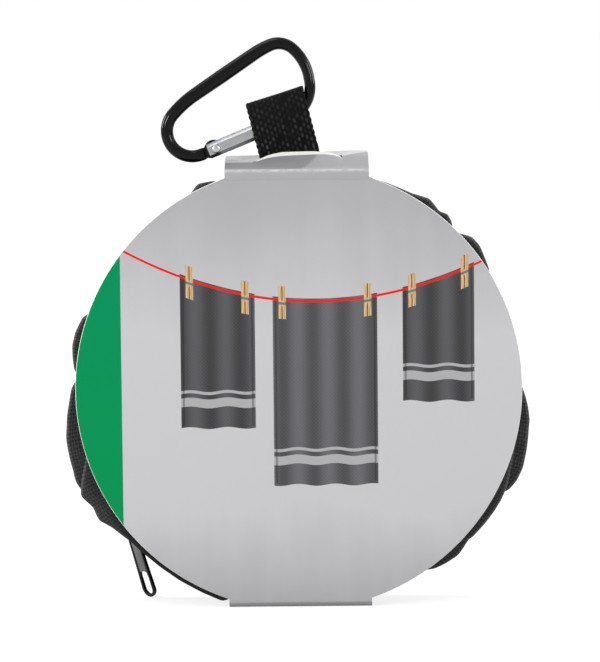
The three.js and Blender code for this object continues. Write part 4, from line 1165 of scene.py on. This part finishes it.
def stitch_row(name, places, runs, lifts, length, thickness, material):
    """Short stitches: middle points, directions and outward directions."""
    sides, rings = 6, 5
    points, faces = [], []
    for place, run, up in zip(places, runs, lifts):
        run, up = unit(run), unit(up)
        across = np.cross(run, up)
        base = len(points)
        for i in range(rings):
            share = -1 + 2 * i / (rings - 1)
            size = thickness * math.sqrt(max(1 - (share * 0.94) ** 2, 0))
            sink = -thickness * 0.7 * share * share
            for k in range(sides):
                turn = 2 * math.pi * k / sides
                offset = across * math.cos(turn) * size * 1.25 + up * (math.sin(turn) * size + sink)
                points.append(np.asarray(place) + run * share * length / 2 + offset)
        quads, _ = grid(rings, sides, False, True, base)
        faces += quads
        faces.append(tuple(base + k for k in range(sides))[::-1])
        faces.append(tuple(base + (rings - 1) * sides + k for k in range(sides)))
    return build(name, points, faces, [material])


def ring_stitches(name, radius, y, up_r, up_y, start, end, pitch, length, thickness):
    count = int(math.radians(end - start) * radius / pitch)
    angles = start + (end - start) * (np.arange(count) + 0.5) / count
    places = around(angles, np.full(count, radius), y)
    turns = np.radians(angles)
    runs = np.stack([-np.sin(turns), np.zeros(count), np.cos(turns)], axis=-1)
    lifts = np.stack([up_r * np.cos(turns), np.full(count, up_y), up_r * np.sin(turns)], axis=-1)
    return stitch_row(name, places, runs, lifts, length, thickness, THREAD)


def cloth_disc(name, radius, front, thickness, puff, wrinkle, seed):
    """Round panel of cloth with soft creases on its outer side."""
    rows, columns = 44, 216
    shares = np.linspace(0.02, 1, rows) ** 0.8
    points = []
    for face in (1, 0):
        for share in shares:
            for k in range(columns):
                turn = 2 * math.pi * k / columns
                x, z = radius * share * math.cos(turn), radius * share * math.sin(turn)
                creases = noise.noise(Vector((x * 0.05, z * 0.05, seed)))
                creases += 0.5 * noise.noise(Vector((x * 0.13, z * 0.1, seed + 4)))
                gather = math.sin(turn * 23 + 3 * creases) * float(smoothstep(share, 0.72, 0.95))
                gather *= float(smoothstep(1 - share, 0.0, 0.06))
                clear = float(smoothstep(abs(x), TAB_HALF - 2, TAB_HALF + 10))
                fullness = puff * clear * (1 - share**4)
                fullness += wrinkle * (creases + 0.5 * gather) * (1 - share**8)
                y = front + thickness * face + fullness * (0.35 + 0.65 * clear)
                points.append((x, y, BAG_Z + z))
    half = rows * columns
    faces, flow = [], []
    for offset in (0, half):
        quads, _ = grid(rows, columns, False, True, offset)
        quads.append(tuple(offset + k for k in range(columns)))
        faces += quads
    rim = half - columns
    for k in range(columns):
        other = (k + 1) % columns
        faces.append((rim + k, rim + other, half + rim + other, half + rim + k))
    for face in faces:
        flow += [(points[k][0] + 200, points[k][2]) for k in face]
    return build(name, points, faces, [FABRIC], flow=flow)


wall = rides(bag_wall(), "pack", "fabric", "bag_wall")
base_section = soft_section(RIM_RADIUS - RIM_WIDTH, RIM_RADIUS, BASE_Y, BASE_Y + BASE_DEPTH, 0.75)
base_edge = ring_piece("base_edge", base_section, 0, 360, 540, BINDING, 0.1, 2.0, EDGE_OUTLINE)
rides(base_edge, "pack", "binding", "base_binding")
base_panel = cloth_disc("base_cloth", SEAM_RADIUS, BASE_Y, PANEL_THICKNESS, 0.0, 0.0, 2.0)
rides(base_panel, "pack", "fabric", "base_panel")
hem_section = soft_section(RIM_RADIUS - RIM_WIDTH, RIM_RADIUS, HEM_Y, HEM_Y + HEM_DEPTH + HEM_LAP, 0.78)
hem = ring_piece("hem_edge", hem_section, HEM_START, HEM_END, 360, BINDING, 0.12, 4.0)
rides(hem, "pack", "binding", "mouth_hem")
hem_stitches = ring_stitches(
    "hem_stitches",
    RIM_RADIUS + 0.05,
    HEM_Y + HEM_DEPTH / 2,
    1.0,
    0.0,
    HEM_START + 1.3,
    HEM_END - 1.2,
    3.0,
    2.1,
    0.17,
)
rides(hem_stitches, "pack", "binding")


# Zip


def band_point(across, above):
    slope = math.radians(ZIP_SLOPE)
    return (
        ZIP_RADIUS - across * math.sin(slope) + above * math.cos(slope),
        ZIP_Y + across * math.cos(slope) + above * math.sin(slope),
    )


def band_ring(name, start, end, low, high, corner, first, last, steps, material, wobble=0.0, seed=1.0):
    section = [band_point(a, b) for a, b in soft_section(start, end, low, high, corner, 4)]
    return ring_piece(name, section, first, last, steps, material, wobble, seed)


def band_stitches(name, across, above, first, last, pitch=2.6, length=1.8, thickness=0.14):
    radius, y = band_point(across, above)
    slope = math.radians(ZIP_SLOPE)
    ends = (first, last, pitch, length, thickness)
    return ring_stitches(name, radius, y, math.cos(slope), math.sin(slope), *ends)


half_tape = TAPE_THICKNESS / 2
for label, low, high, seed in (
    ("body", 0, TAPE_WIDTH, 6.0),
    ("lid", BAND_WIDTH - TAPE_WIDTH, BAND_WIDTH, 7.0),
):
    ends = (ZIP_RIGHT_END, ZIP_LEFT_END, 320)
    tape = band_ring(f"tape_{label}", low, high, -half_tape, half_tape, 0.22, *ends, TAPE, 0.05, seed)
    rides(tape, "pack", "zip_tape", f"zip_tape_{label}")
for label, across in (("body", 1.0), ("lid", BAND_WIDTH - 1.0)):
    ends = (ZIP_RIGHT_END + 5, ZIP_LEFT_END - 5)
    row = band_stitches(f"zip_stitches_{label}", across, half_tape + 0.04, *ends)
    rides(row, "pack", "zip_tape")


def tooth_shape():
    """Moulded tooth in its own frame: along the zip, out from the bead, up. Rounded, with a waist."""
    half = TOOTH_WIDTH / 2
    outline = [(-half * 0.8, -0.05), (-half * 0.8, 0.3), (-half, 0.6)]
    outline += [(-half + 0.3 + x, TOOTH_LENGTH - 0.3 + y) for x, y in arc_points((0, 0), 0.3, 170, 95, 4)]
    outline += [(half - 0.3 + x, TOOTH_LENGTH - 0.3 + y) for x, y in arc_points((0, 0), 0.3, 85, 10, 4)]
    outline += [(half, 0.6), (half * 0.8, 0.3), (half * 0.8, -0.05)]
    top = TEETH_THICKNESS / 2
    levels = ((-top, 0.8), (-top + 0.22, 1.0), (top - 0.22, 1.0), (top, 0.8))
    return outline, levels


def teeth_row(name, outer, inner, direction, shift, first, last):
    """Bead with its teeth, each set out from the bead across the band, over part of the zip."""
    outline, levels = tooth_shape()
    count = len(outline)
    chain_radius = band_point(CHAIN_CENTRE, 0)[0]
    pitch = math.degrees(TOOTH_PITCH / chain_radius)
    half = math.degrees(TOOTH_WIDTH / chain_radius) / 2
    points, faces = [], []
    angle = TEETH_RIGHT_END + pitch * (0.5 + shift)
    while angle + half < last:
        if angle + half > first:
            base = len(points)
            for above, scale in levels:
                for along, out in outline:
                    turn = angle + math.degrees(along * scale / chain_radius)
                    radius, y = band_point(inner + direction * out * (0.94 if scale < 1 else 1), above)
                    points.append(around(np.array([turn]), np.array([radius]), y)[0])
            quads, _ = grid(len(levels), count, False, True, base)
            faces += quads
            faces.append(tuple(base + k for k in range(count)))
            faces.append(tuple(base + (len(levels) - 1) * count + k for k in range(count)))
        angle += pitch
    teeth = build(name, points, faces, [TEETH])
    shade_by_angle(teeth, 40)
    low, high = sorted((outer, inner))
    top = TEETH_THICKNESS / 2
    bead = band_ring(name + "_bead", low, high, -top, top, 0.25, first, last, int(last - first), TEETH)
    return teeth, bead


RAIL_END = RAIL_START + RAIL_WIDTH
LID_RAIL_END = BAND_WIDTH - RAIL_START
LID_RAIL_START = LID_RAIL_END - RAIL_WIDTH
for label, outer, inner, direction, shift in (
    ("body", RAIL_START, RAIL_END, 1, 0.0),
    ("lid", LID_RAIL_END, LID_RAIL_START, -1, 0.5),
):
    row = (outer, inner, direction, shift)
    teeth, bead = teeth_row(f"teeth_{label}", *row, TEETH_RIGHT_END, TEETH_PARTING)
    rides(teeth, "pack", "zip_teeth", f"zip_teeth_{label}")
    rides(bead, "pack", "zip_teeth")
    root = PARTING_ROOT if direction > 0 else BAND_WIDTH - PARTING_ROOT
    anchor = (0, band_point(root, 0)[1] * MM, 0)
    for piece in teeth_row(f"teeth_{label}_open", *row, TEETH_PARTING, TEETH_LEFT_END):
        rides(piece, "pack", "zip_teeth")
        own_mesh(piece)

half_hinge = HINGE_THICKNESS / 2
ends = (ZIP_LEFT_END + 0.24, ZIP_RIGHT_END + 360 - 0.24, 120)
hinge_strip = band_ring(
    "hinge_cloth", 0, BAND_WIDTH, -half_hinge, half_hinge, 0.3, *ends, FABRIC, 0.08, 9.0
)
rides(hinge_strip, "pack", "fabric", "lid_hinge_strip")
tab_half = math.degrees(TAB_REACH / band_point(CHAIN_CENTRE, 0)[0])
for label, angle in (("left", ZIP_LEFT_END), ("right", ZIP_RIGHT_END)):
    span = (TAB_INSET, BAND_WIDTH - TAB_INSET, TAB_LOW, TAB_HIGH, 0.38)
    tab = band_ring(f"end_tab_{label}", *span, angle - tab_half, angle + tab_half, 24, BINDING)
    rides(tab, "pack", "binding", f"zip_end_tab_{label}")
    for mark, across in (("a", TAB_STITCH), ("b", BAND_WIDTH - TAB_STITCH)):
        ends = (angle - tab_half + 0.6, angle + tab_half - 0.6)
        row = band_stitches(f"tab_stitches_{label}_{mark}", across, TAB_HIGH + 0.02, *ends)
        rides(row, "pack", "binding")


# Lid

lid_inner = LID_RIM_RADIUS - LID_BINDING_WIDTH
lid_back = LID_RIM_Y + LID_BINDING_DEPTH
lid_section = soft_section(lid_inner, LID_RIM_RADIUS, LID_RIM_Y, lid_back, 0.7)
lid_edge = ring_piece("lid_edge", lid_section, 0, 360, 360, BINDING, 0.1, 8.0)
rides(lid_edge, "pack", "binding", "lid_binding")
lid_middle = LID_RIM_RADIUS - LID_BINDING_WIDTH / 2
lid_stitches = ring_stitches(
    "lid_stitches", lid_middle, lid_back + 0.03, 0.0, 1.0, 0, 360, 3.0, 2.1, 0.17
)
rides(lid_stitches, "pack", "binding")
lid_panel = cloth_disc(
    "lid_cloth", LID_CLOTH_RADIUS, LID_CLOTH_Y, PANEL_THICKNESS, LID_PUFF, LID_WRINKLE, 5.0
)
rides(lid_panel, "pack", "fabric", "lid_panel")


# Zip slider and puller


def slot_outline(start, end, width, count=14):
    radius = width / 2
    outline = arc_points((end - radius, 0), radius, -90, 90, count)
    return outline + arc_points((start + radius, 0), radius, 90, 270, count)


def curve_between(start, control, end, count=12):
    """Points of a quadratic curve, without its first."""
    shares = np.linspace(0, 1, count)[1:]
    start, control, end = map(np.asarray, (start, control, end))
    return [tuple((1 - s) ** 2 * start + 2 * s * (1 - s) * control + s * s * end) for s in shares]


def block(name, low, high, matrix):
    outline = [(low[0], low[1]), (high[0], low[1]), (high[0], high[1]), (low[0], high[1])]
    return prism(name, outline, low[2], high[2], matrix, [])


def lathe(name, profile, sides, matrix, materials, axis=2):
    """Turned piece: (radius, height) points about an axis of a local frame."""
    rings = []
    for radius, height in profile:
        ring = []
        for k in range(sides):
            turn = 2 * math.pi * k / sides
            point = [radius * math.cos(turn), radius * math.sin(turn), height]
            ring.append(point if axis == 2 else [height, point[0], point[1]])
        rings.append(ring)
    return loft(name, moved_rings(matrix, rings), materials)


def zip_puller():
    """Eye that lies over the slider, and a blade twisted against it with a long hole and an inlay."""
    across = np.cross(PULLER_NORMAL, PULLER_ALONG)
    c, s = math.cos(math.radians(PULLER_SWING)), math.sin(math.radians(PULLER_SWING))
    rest_along, rest_normal = np.asarray(PULLER_ALONG), np.asarray(PULLER_NORMAL)
    along, normal = c * rest_along - s * rest_normal, c * rest_normal + s * rest_along
    eye_axes = place_frame(PULLER_PLACE, along, across, normal)
    c, s = math.cos(math.radians(PULLER_TWIST)), math.sin(math.radians(PULLER_TWIST))
    axes = place_frame(PULLER_PLACE, along, c * across + s * normal, c * normal - s * across)
    neck, tip, half = PULLER_NECK / 2, PULLER_TIP / 2, PULLER_THICKNESS / 2
    shoulder = PULLER_LENGTH - tip
    root = PULLER_ARM - PULLER_RIM / 2
    outline = [(root, -neck), (PULLER_ARM, -neck)]
    outline += curve_between((PULLER_ARM, -neck), (PULLER_LENGTH / 2, -neck), (shoulder, -tip))
    outline += arc_points((shoulder, 0), tip, -90, 90, 28)[1:]
    outline += curve_between((shoulder, tip), (PULLER_LENGTH / 2, neck), (PULLER_ARM, neck))
    outline += [(root, neck)]
    blade = prism("pull_tab", outline, -half, half, axes, [GLOSS])
    hole_end = PULLER_LENGTH - PULLER_RIM
    hole_start = hole_end - HOLE_LENGTH
    recess_end = hole_start + HOLE_WIDTH / 2
    recess_start = hole_start - PULLER_RIM - RECESS_LENGTH
    recess_width = PULLER_NECK - 1.5 * PULLER_RIM
    recess = slot_outline(recess_start, recess_end, recess_width)
    floor = half - RECESS_DEPTH
    carve(
        blade,
        prism("hole", slot_outline(hole_start, hole_end, HOLE_WIDTH), -3, 3, axes, []),
        prism("recess_front", recess, floor, 3, axes, []),
        prism("recess_back", recess, -3, -floor, axes, []),
    )
    rides(eased(blade, 0.16, 3), "puller", "black_metal", "zip_puller")
    corners = [(0.0, -neck), (PULLER_ARM, -neck), (PULLER_ARM, neck), (0.0, neck)]
    eye = prism("pull_eye", corners, -half, half, eye_axes, [GLOSS])
    carve(eye, block("eye", (EYE_BAR / 2, -EYE_HALF, -3), (PULLER_ARM - PULLER_RIM, EYE_HALF, 3), eye_axes))
    rides(eased(eye, 0.16, 3), "puller", "black_metal")
    low_half = [(0.05, -neck), (0.55, -neck), (EYE_BAR / 2, -neck + 0.2)]
    cross = low_half + [(radius, -height) for radius, height in low_half[::-1]]
    bar_axes = place_frame(PULLER_PLACE, along, normal, np.cross(along, normal))
    rides(lathe("pull_cross_bar", cross, 24, bar_axes, [GLOSS]), "puller", "black_metal")
    pad_half = recess_width / 2 - 0.12
    pad = [(hole_start - 0.15 + 0.5 * abs(k), -pad_half * k) for k in np.linspace(-1, 1, 5)]
    pad += arc_points((recess_start + 0.12 + pad_half, 0), pad_half, 270, 90, 20)
    for label, low, high in (("inner", floor, floor + 0.14), ("outer", -floor - 0.14, -floor)):
        inlay = prism(f"pull_inlay_{label}", pad, low, high, axes, [INLAY])
        rides(eased(inlay, 0.05, 2), "puller", "black_metal")


zip_puller()


def keep_node(name, material, width=0.0):
    """A CAD node whose shape is right gets a finish, and eased edges where width says so."""
    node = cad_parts[name]
    node.data.materials.clear()
    node.data.materials.append(material)
    if width:
        step = node.modifiers.new("ease", "BEVEL")
        step.width = width * MM
        step.segments = 2
        step.limit_method = "ANGLE"
        step.angle_limit = math.radians(40)
    return node


for kept, material, width in (
    ("zip_slider", GLOSS, 0.16),
    ("zip_stop_left", GLOSS, 0.25),
    ("zip_stop_right", GLOSS, 0.25),
    ("gate_latch_pin", STEEL, 0.12),
    ("gate_plunger", STEEL, 0.12),
    ("gate_spring", STEEL, 0.0),
):
    keep_node(kept, material, width)


# Webbing


WEB_UP = np.array((-math.sin(math.radians(WEB_LEAN)), 0.0, math.cos(math.radians(WEB_LEAN))))
WEB_ACROSS = np.array((math.cos(math.radians(WEB_LEAN)), 0.0, math.sin(math.radians(WEB_LEAN))))
WEB_BACK = np.array((0.0, 1.0, 0.0))


def web_point(across, back, up):
    return np.asarray(WEB_FOOT) + across * WEB_ACROSS + back * WEB_BACK + up * WEB_UP


def eye_curve(turn):
    """Half of the pear-shaped eye inside the loop: (distance from the middle, height)."""
    low, high = WEB_STITCHED, WEB_HEIGHT - WEB_THICKNESS
    fullest = 4 * math.sqrt(3) / 9
    swell = math.sin(turn) * math.sin(turn / 2)
    return np.array((WEB_EYE_WIDTH / 2 * swell / fullest, low + (high - low) * (1 - math.cos(turn)) / 2))


def evenly(points, spacing):
    """Points along the same line at even distances."""
    points = np.asarray(points, float)
    run = run_along(points)
    places = np.linspace(0, run[-1], max(int(round(run[-1] / spacing)), 2) + 1)
    return np.stack([np.interp(places, run, points[:, k]) for k in range(points.shape[1])], axis=-1)


def web_line():
    """Middle line of the strap from the front foot over the fold to the back foot, as (back, up)."""
    skin = []
    for turn in np.linspace(0, math.pi, 160):
        before, after = eye_curve(max(turn - 0.01, 0)), eye_curve(min(turn + 0.01, math.pi))
        run = after - before
        normal = unit((run[1], -run[0])) if 0.02 < turn < math.pi - 0.02 else None
        if turn <= 0.02:
            normal = np.array((1.0, 0.0))
        elif normal is None:
            normal = np.array((0.0, 1.0))
        skin.append(eye_curve(turn) + normal * WEB_THICKNESS / 2)
    back = [np.array((WEB_THICKNESS / 2, 0.0)), *skin]
    front = [np.array((-p[0], p[1])) for p in back]
    return evenly(front + back[::-1][1:], 0.3)


def speck_height(along, across):
    """Raised woven specks in staggered columns along the strap."""
    column = across / WEB_COLUMN
    row = along / WEB_ROW + 0.5 * (np.floor(column) % 2)
    side = (column % 1 - 0.5) / 0.46
    end = (row % 1 - 0.5) / 0.48
    uneven = 0.55 + 0.45 * np.sin(12.9 * np.floor(column) + 78.2 * np.floor(row))
    return np.sqrt(np.clip(1 - side**2 - end**2, 0, 1)) * WEB_RAISE * uneven


def webbing_loop():
    line = web_line()
    rows = len(line)
    tangent = directions(line)
    normal = np.stack([-tangent[:, 1], tangent[:, 0]], axis=-1)
    along = run_along(line)
    columns = 101
    across = np.linspace(-WEB_WIDTH / 2, WEB_WIDTH / 2, columns)
    half = WEB_THICKNESS / 2
    rings = []
    for i in range(rows):
        ring = []
        frayed = 0.12 * math.sin(2 * math.pi * along[i] / WEB_ROW)
        for side in (1, -1):
            order = range(columns) if side > 0 else range(columns - 1, -1, -1)
            for k in order:
                w = across[k]
                edge = min(k, columns - 1 - k)
                thin = WEB_EDGE_THIN.get(edge, 1.0)
                raise_by = float(speck_height(along[i], w + WEB_WIDTH)) if edge > 1 else 0.0
                if side < 0:
                    raise_by *= 0.5
                depth = side * (half * thin - 0.06 + raise_by * 0.75)
                spread = w + (frayed if edge < 3 else 0.0) * (1 if w > 0 else -1)
                back, up = line[i] + normal[i] * depth
                if up < WEB_STITCHED + 1:
                    low = (WEB_END_Z - WEB_FOOT[2] - w * WEB_ACROSS[2]) / WEB_UP[2]
                    up = low + up * (WEB_STITCHED + 1 - low) / (WEB_STITCHED + 1)
                up += (WEB_SHEAR * w - WEB_SHEAR_DROP) * float(smoothstep(up, 6, 20))
                ring.append(web_point(spread, back, up))
        rings.append(ring)
    return loft("strap_loop", rings, [WEBBING])


def webbing_tail():
    """Doubled strap that comes up through the slit between the two legs of the loop."""
    half = WEB_WIDTH / 2 - 0.25
    section = soft_section(-half, half, -WEB_TAIL_HALF, WEB_TAIL_HALF, 0.5, 4)
    section = evenly(section + section[:1], 0.5)[:-1]
    rings = []
    for up in np.linspace(WEB_TAIL_LOW, WEB_CORE_TOP, 60):
        ring = []
        for w, back in section:
            edge = max(abs(w) - WEB_WIDTH / 2 + 0.8, 0) * (1 - min(abs(back) / 0.4, 1))
            w = w - math.copysign(edge * 0.4, w)
            raise_by = float(speck_height(up + 50, w + WEB_WIDTH)) * 0.35 if abs(back) > 1.1 else 0.0
            point = web_point(w, back + math.copysign(raise_by, back), max(up, 0.0))
            if up < 0:
                share = w * WEB_ACROSS[2]
                point[2] += up - share * min(-up / 2.5, 1.0)
            ring.append(point)
        rings.append(ring)
    return loft("strap_tail", rings, [WEBBING])


loop = rides(webbing_loop(), "hanger", "webbing", "webbing_loop")
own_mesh(loop)
tail = webbing_tail()
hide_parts("webbing_tail")
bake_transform(tail)


# Carabiner

CLIP = place_frame(
    CLIP_PLACE,
    GATE_AXIS,
    (-math.sin(math.radians(GATE_TILT)), 0, math.cos(math.radians(GATE_TILT))),
    (0, -1, 0),
)
HEEL_END = -math.hypot(GATE_HEEL, GATE_HIGH) - NOSE_GAP
NOSE_END = math.hypot(GATE_LENGTH, GATE_HIGH) + NOSE_GAP

def bar_line():
    """Middle line of the bent bar, from the hinge round the heel, spine, crown and nose."""
    place = np.array((HEEL_END, 0.0))
    heading = math.pi
    points = [place.copy()]

    def straight(length, count):
        nonlocal place
        forward = np.array((math.cos(heading), math.sin(heading)))
        points.extend(place + forward * length * (k + 1) / count for k in range(count))
        place = place + forward * length

    def bend(radius, target):
        nonlocal place, heading
        count = max(int(math.degrees(heading - target) / 3), 2)
        centre = place - radius * np.array((-math.sin(heading), math.cos(heading)))
        for angle in np.linspace(heading, target, count + 1)[1:]:
            points.append(centre + radius * np.array((-math.sin(angle), math.cos(angle))))
        place = points[-1].copy()
        heading = target

    straight(HEEL_STRAIGHT + HEEL_END, 8)
    for radius, target in BENDS_TO_SPINE:
        bend(radius, math.radians(target))
    straight(SPINE_LENGTH, 24)
    for radius, target in BENDS_TO_SIDE:
        bend(radius, math.radians(target))
    drop = NOSE_RADIUS * (1 + math.cos(heading))
    straight((place[1] - drop) / -math.sin(heading), 10)
    bend(NOSE_RADIUS, -math.pi)
    straight(max(place[0] - NOSE_END, 0.05), 2)
    return np.array(points)


def carabiner_body():
    line = bar_line()
    tangent = directions(line)
    run = run_along(line)
    sides = 32
    rings = []

    def ring(point, along, half, squareness, scale=1.0):
        made = []
        for k in range(sides):
            turn = 2 * math.pi * (k + 0.5) / sides
            c, s = math.cos(turn), math.sin(turn)
            reach = scale / (abs(c) ** squareness + abs(s) ** squareness) ** (1 / squareness)
            wide = reach * half * c
            made.append((point[0] - along[1] * wide, point[1] + along[0] * wide, reach * BAR_RADIUS * s))
        return made

    halves = np.interp(run / run[-1], BAR_SHARES, BAR_HALVES)
    rings.append(ring(line[0] - tangent[0] * 0.02, tangent[0], halves[0], 5, 0.86))
    for point, along, length, half in zip(line, tangent, run, halves):
        left = run[-1] - length
        squareness = 2 + 3 * float(smoothstep(3.5 - length, 0, 3)) + 1.5 * float(smoothstep(3 - left, 0, 3))
        start = point + along * 0.25 if length == 0 else point
        rings.append(ring(start, along, half, squareness))
    rings.append(ring(line[-1], tangent[-1], halves[-1], 3.5, 0.86))
    return shade_by_angle(loft("clip_bar", moved_rings(CLIP, rings), [GLOSS]), 45)


def hinge_tongue():
    """Flat round eye on the end of the bar that the gate's fork turns on."""
    meet = 180 - math.degrees(math.asin(TONGUE_ROOT / TONGUE_RADIUS))
    outline = [(HEEL_END - 1.2, -TONGUE_ROOT)]
    arc = arc_points((-TONGUE_SETBACK, 0), TONGUE_RADIUS, -meet, meet, 40)
    outline += [(a, max(b, -TONGUE_LOW)) for a, b in arc]
    outline += [(HEEL_END - 1.2, TONGUE_ROOT)]
    tongue = prism("hinge_tongue", outline, -TONGUE_HALF, TONGUE_HALF, CLIP, [GLOSS])
    carve(tongue, lathe("rivet_hole", [(RIVET_HOLE, -3.0), (RIVET_HOLE, 3.0)], 24, CLIP, []))
    return eased(tongue, 0.15, 2)


def nose_tongue():
    """Hook on the end of the nose that holds the gate's latch pin."""
    latch = GATE_LENGTH - LATCH_SETBACK
    half = LATCH_RADIUS + RUNNING_GAP
    start = NOSE_END - NOSE_GAP - NOSE_TONGUE_LENGTH
    end = NOSE_END + BAR_RADIUS
    outline = [
        (start, -NOSE_TONGUE_HALF),
        (end, -NOSE_TONGUE_HALF),
        (end, NOSE_TONGUE_HALF),
        (latch + half, NOSE_TONGUE_HALF),
        (latch + half, -half),
        (latch - half, -half),
        (latch - half, NOSE_TONGUE_HALF),
        (start, NOSE_TONGUE_HALF),
    ]
    tongue = prism("nose_tongue", outline, -TONGUE_HALF, TONGUE_HALF, CLIP, [GLOSS])
    return eased(tongue, 0.12, 2)


def carabiner_gate():
    """Flat-sided gate with chamfered edges, slotted at both ends and bored for its spring."""
    flat_high, flat_thick = GATE_HIGH - GATE_CHAMFER, GATE_THICK - GATE_CHAMFER
    upper = [(GATE_HIGH, flat_thick), (flat_high, GATE_THICK)]
    upper += [(-high, thick) for high, thick in upper[::-1]]
    section = upper + [(-high, -thick) for high, thick in upper]
    stations = np.linspace(-GATE_HEEL, GATE_LENGTH, 12)
    rings = [[(a, b, c) for b, c in section] for a in stations]
    gate = loft("clip_gate", moved_rings(CLIP, rings), [ALUMINIUM])
    slot = TONGUE_HALF + RUNNING_GAP
    reach = 2 * GATE_HIGH
    tip_start = GATE_LENGTH - TIP_SLOT_LENGTH
    bore = [(BORE_RADIUS, place) for place in BORE_SPAN]
    carve(
        gate,
        block("hinge_slot", (-reach, -reach, -slot), (HINGE_SLOT_END, reach, slot), CLIP),
        block("tip_slot", (tip_start, -reach, -slot), (GATE_LENGTH + 1, reach, slot), CLIP),
        lathe("bore", bore, 24, CLIP, [], axis=0),
        lathe("rivet_hole", [(RIVET_HOLE, -4), (RIVET_HOLE, 4)], 24, CLIP, []),
    )
    return eased(gate, 0.2, 3, 30)


def gate_rivet():
    top = GATE_THICK + 0.15
    profile = [(RIVET_RADIUS, -top), (RIVET_RADIUS, top)]
    turns = np.linspace(0, 1.5, 8)
    dome = [(RIVET_HEAD * math.cos(t), top + 0.12 + 0.45 * math.sin(t)) for t in turns]
    rim = [(RIVET_HEAD - 0.08, top), (RIVET_HEAD, top + 0.06)]
    upper = [(RIVET_RADIUS, top), *rim, *dome]
    lower = [(r, -h) for r, h in upper][::-1]
    return lathe("clip_rivet", lower[:-1] + profile + upper[1:], 28, CLIP, [STEEL])


rides(carabiner_body(), "hanger", "black_metal", "carabiner_body")
rides(hinge_tongue(), "hanger", "black_metal")
rides(nose_tongue(), "hanger", "black_metal")
rides(carabiner_gate(), "gate", "gate_metal", "carabiner_gate")
rides(gate_rivet(), "gate", "steel", "gate_rivet")


# Cloth sizes: areas of the flat lid and base cloth, worked out and not used


for panel, across, edge in ((lid_panel, LID_FLAT, "lid_edge"), (base_panel, BASE_FLAT, "base_edge")):
    area = math.pi * (across / 2) ** 2


# Floor, light and camera


def light_path_share(tree):
    """1 for rays from the camera, a mirror or glass, and 0 for the rays that light things."""
    path = tree.nodes.new("ShaderNodeLightPath")
    share = Field(tree, path.outputs["Is Camera Ray"])
    for name in ("Is Glossy Ray", "Is Transmission Ray"):
        share = share.high(Field(tree, path.outputs[name]))
    return share


def make_world():
    world = bpy.data.worlds.new("studio")
    bpy.context.scene.world = world
    world.use_nodes = True
    tree = world.node_tree
    background = tree.nodes["Background"]
    background.inputs["Color"].default_value = (1, 1, 1, 1)
    strength = light_path_share(tree) * (1 - AMBIENT) + AMBIENT
    tree.links.new(strength.socket, background.inputs["Strength"])


def make_floor():
    corners = ((-1, -1), (1, -1), (1, 1), (-1, 1))
    points = [(a * FLOOR_HALF, b * FLOOR_HALF, FLOOR_Z) for a, b in corners]
    finish = Finish("floor", (FLOOR_TONE, FLOOR_TONE, FLOOR_TONE, 1), 0.9, specular=0.0)
    finish.shader.inputs["Emission Color"].default_value = (1, 1, 1, 1)
    x, y, _ = finish.place()
    away = ((x * x + y * y).sqrt() - GLOW_REACH[0]) / (GLOW_REACH[1] - GLOW_REACH[0])
    glow = light_path_share(finish.tree) * (away.unit() * (GLOW_FAR - GLOW_NEAR) + GLOW_NEAR)
    finish.tree.links.new(glow.socket, finish.shader.inputs["Emission Strength"])
    floor = build("floor", points, [(0, 1, 2, 3)], [finish.material], smooth=False, closed=False)


def area_light(name, place, target, width, height, power):
    lamp = bpy.data.lights.new(name, "AREA")
    lamp.shape = "RECTANGLE"
    lamp.size = width
    lamp.size_y = height
    lamp.energy = power
    holder = bpy.data.objects.new(name, lamp)
    bpy.context.scene.collection.objects.link(holder)
    holder.location = place
    aim = Vector(target) - Vector(place)
    holder.rotation_euler = aim.to_track_quat("-Z", "Y").to_euler()


def make_camera():
    pitch = math.radians(CAMERA_ELEVATION)
    roll = math.radians(CAMERA_ROLL)
    forward = Vector((0, math.cos(pitch), -math.sin(pitch)))
    level_up = Vector((0, math.sin(pitch), math.cos(pitch)))
    right = Vector((1, 0, 0)) * math.cos(roll) + level_up * math.sin(roll)
    up = Vector((-1, 0, 0)) * math.sin(roll) + level_up * math.cos(roll)
    data = bpy.data.cameras.new("camera")
    data.lens = CAMERA_LENS
    data.sensor_width = CAMERA_SENSOR
    data.sensor_fit = "HORIZONTAL"
    data.clip_start = 0.01
    data.clip_end = 50
    camera = bpy.data.objects.new("camera", data)
    bpy.context.scene.collection.objects.link(camera)
    place = (Vector(LOOK_POINT) - forward * CAMERA_DISTANCE) * MM
    turn = Matrix((right, up, -forward)).transposed().to_4x4()
    camera.matrix_world = Matrix.Translation(place) @ turn
    bpy.context.scene.camera = camera


make_world()
make_floor()
for lamp in LAMPS:
    area_light(*lamp)
make_camera()
bpy.context.scene.view_settings.view_transform = "Standard"

bpy.context.view_layer.update()
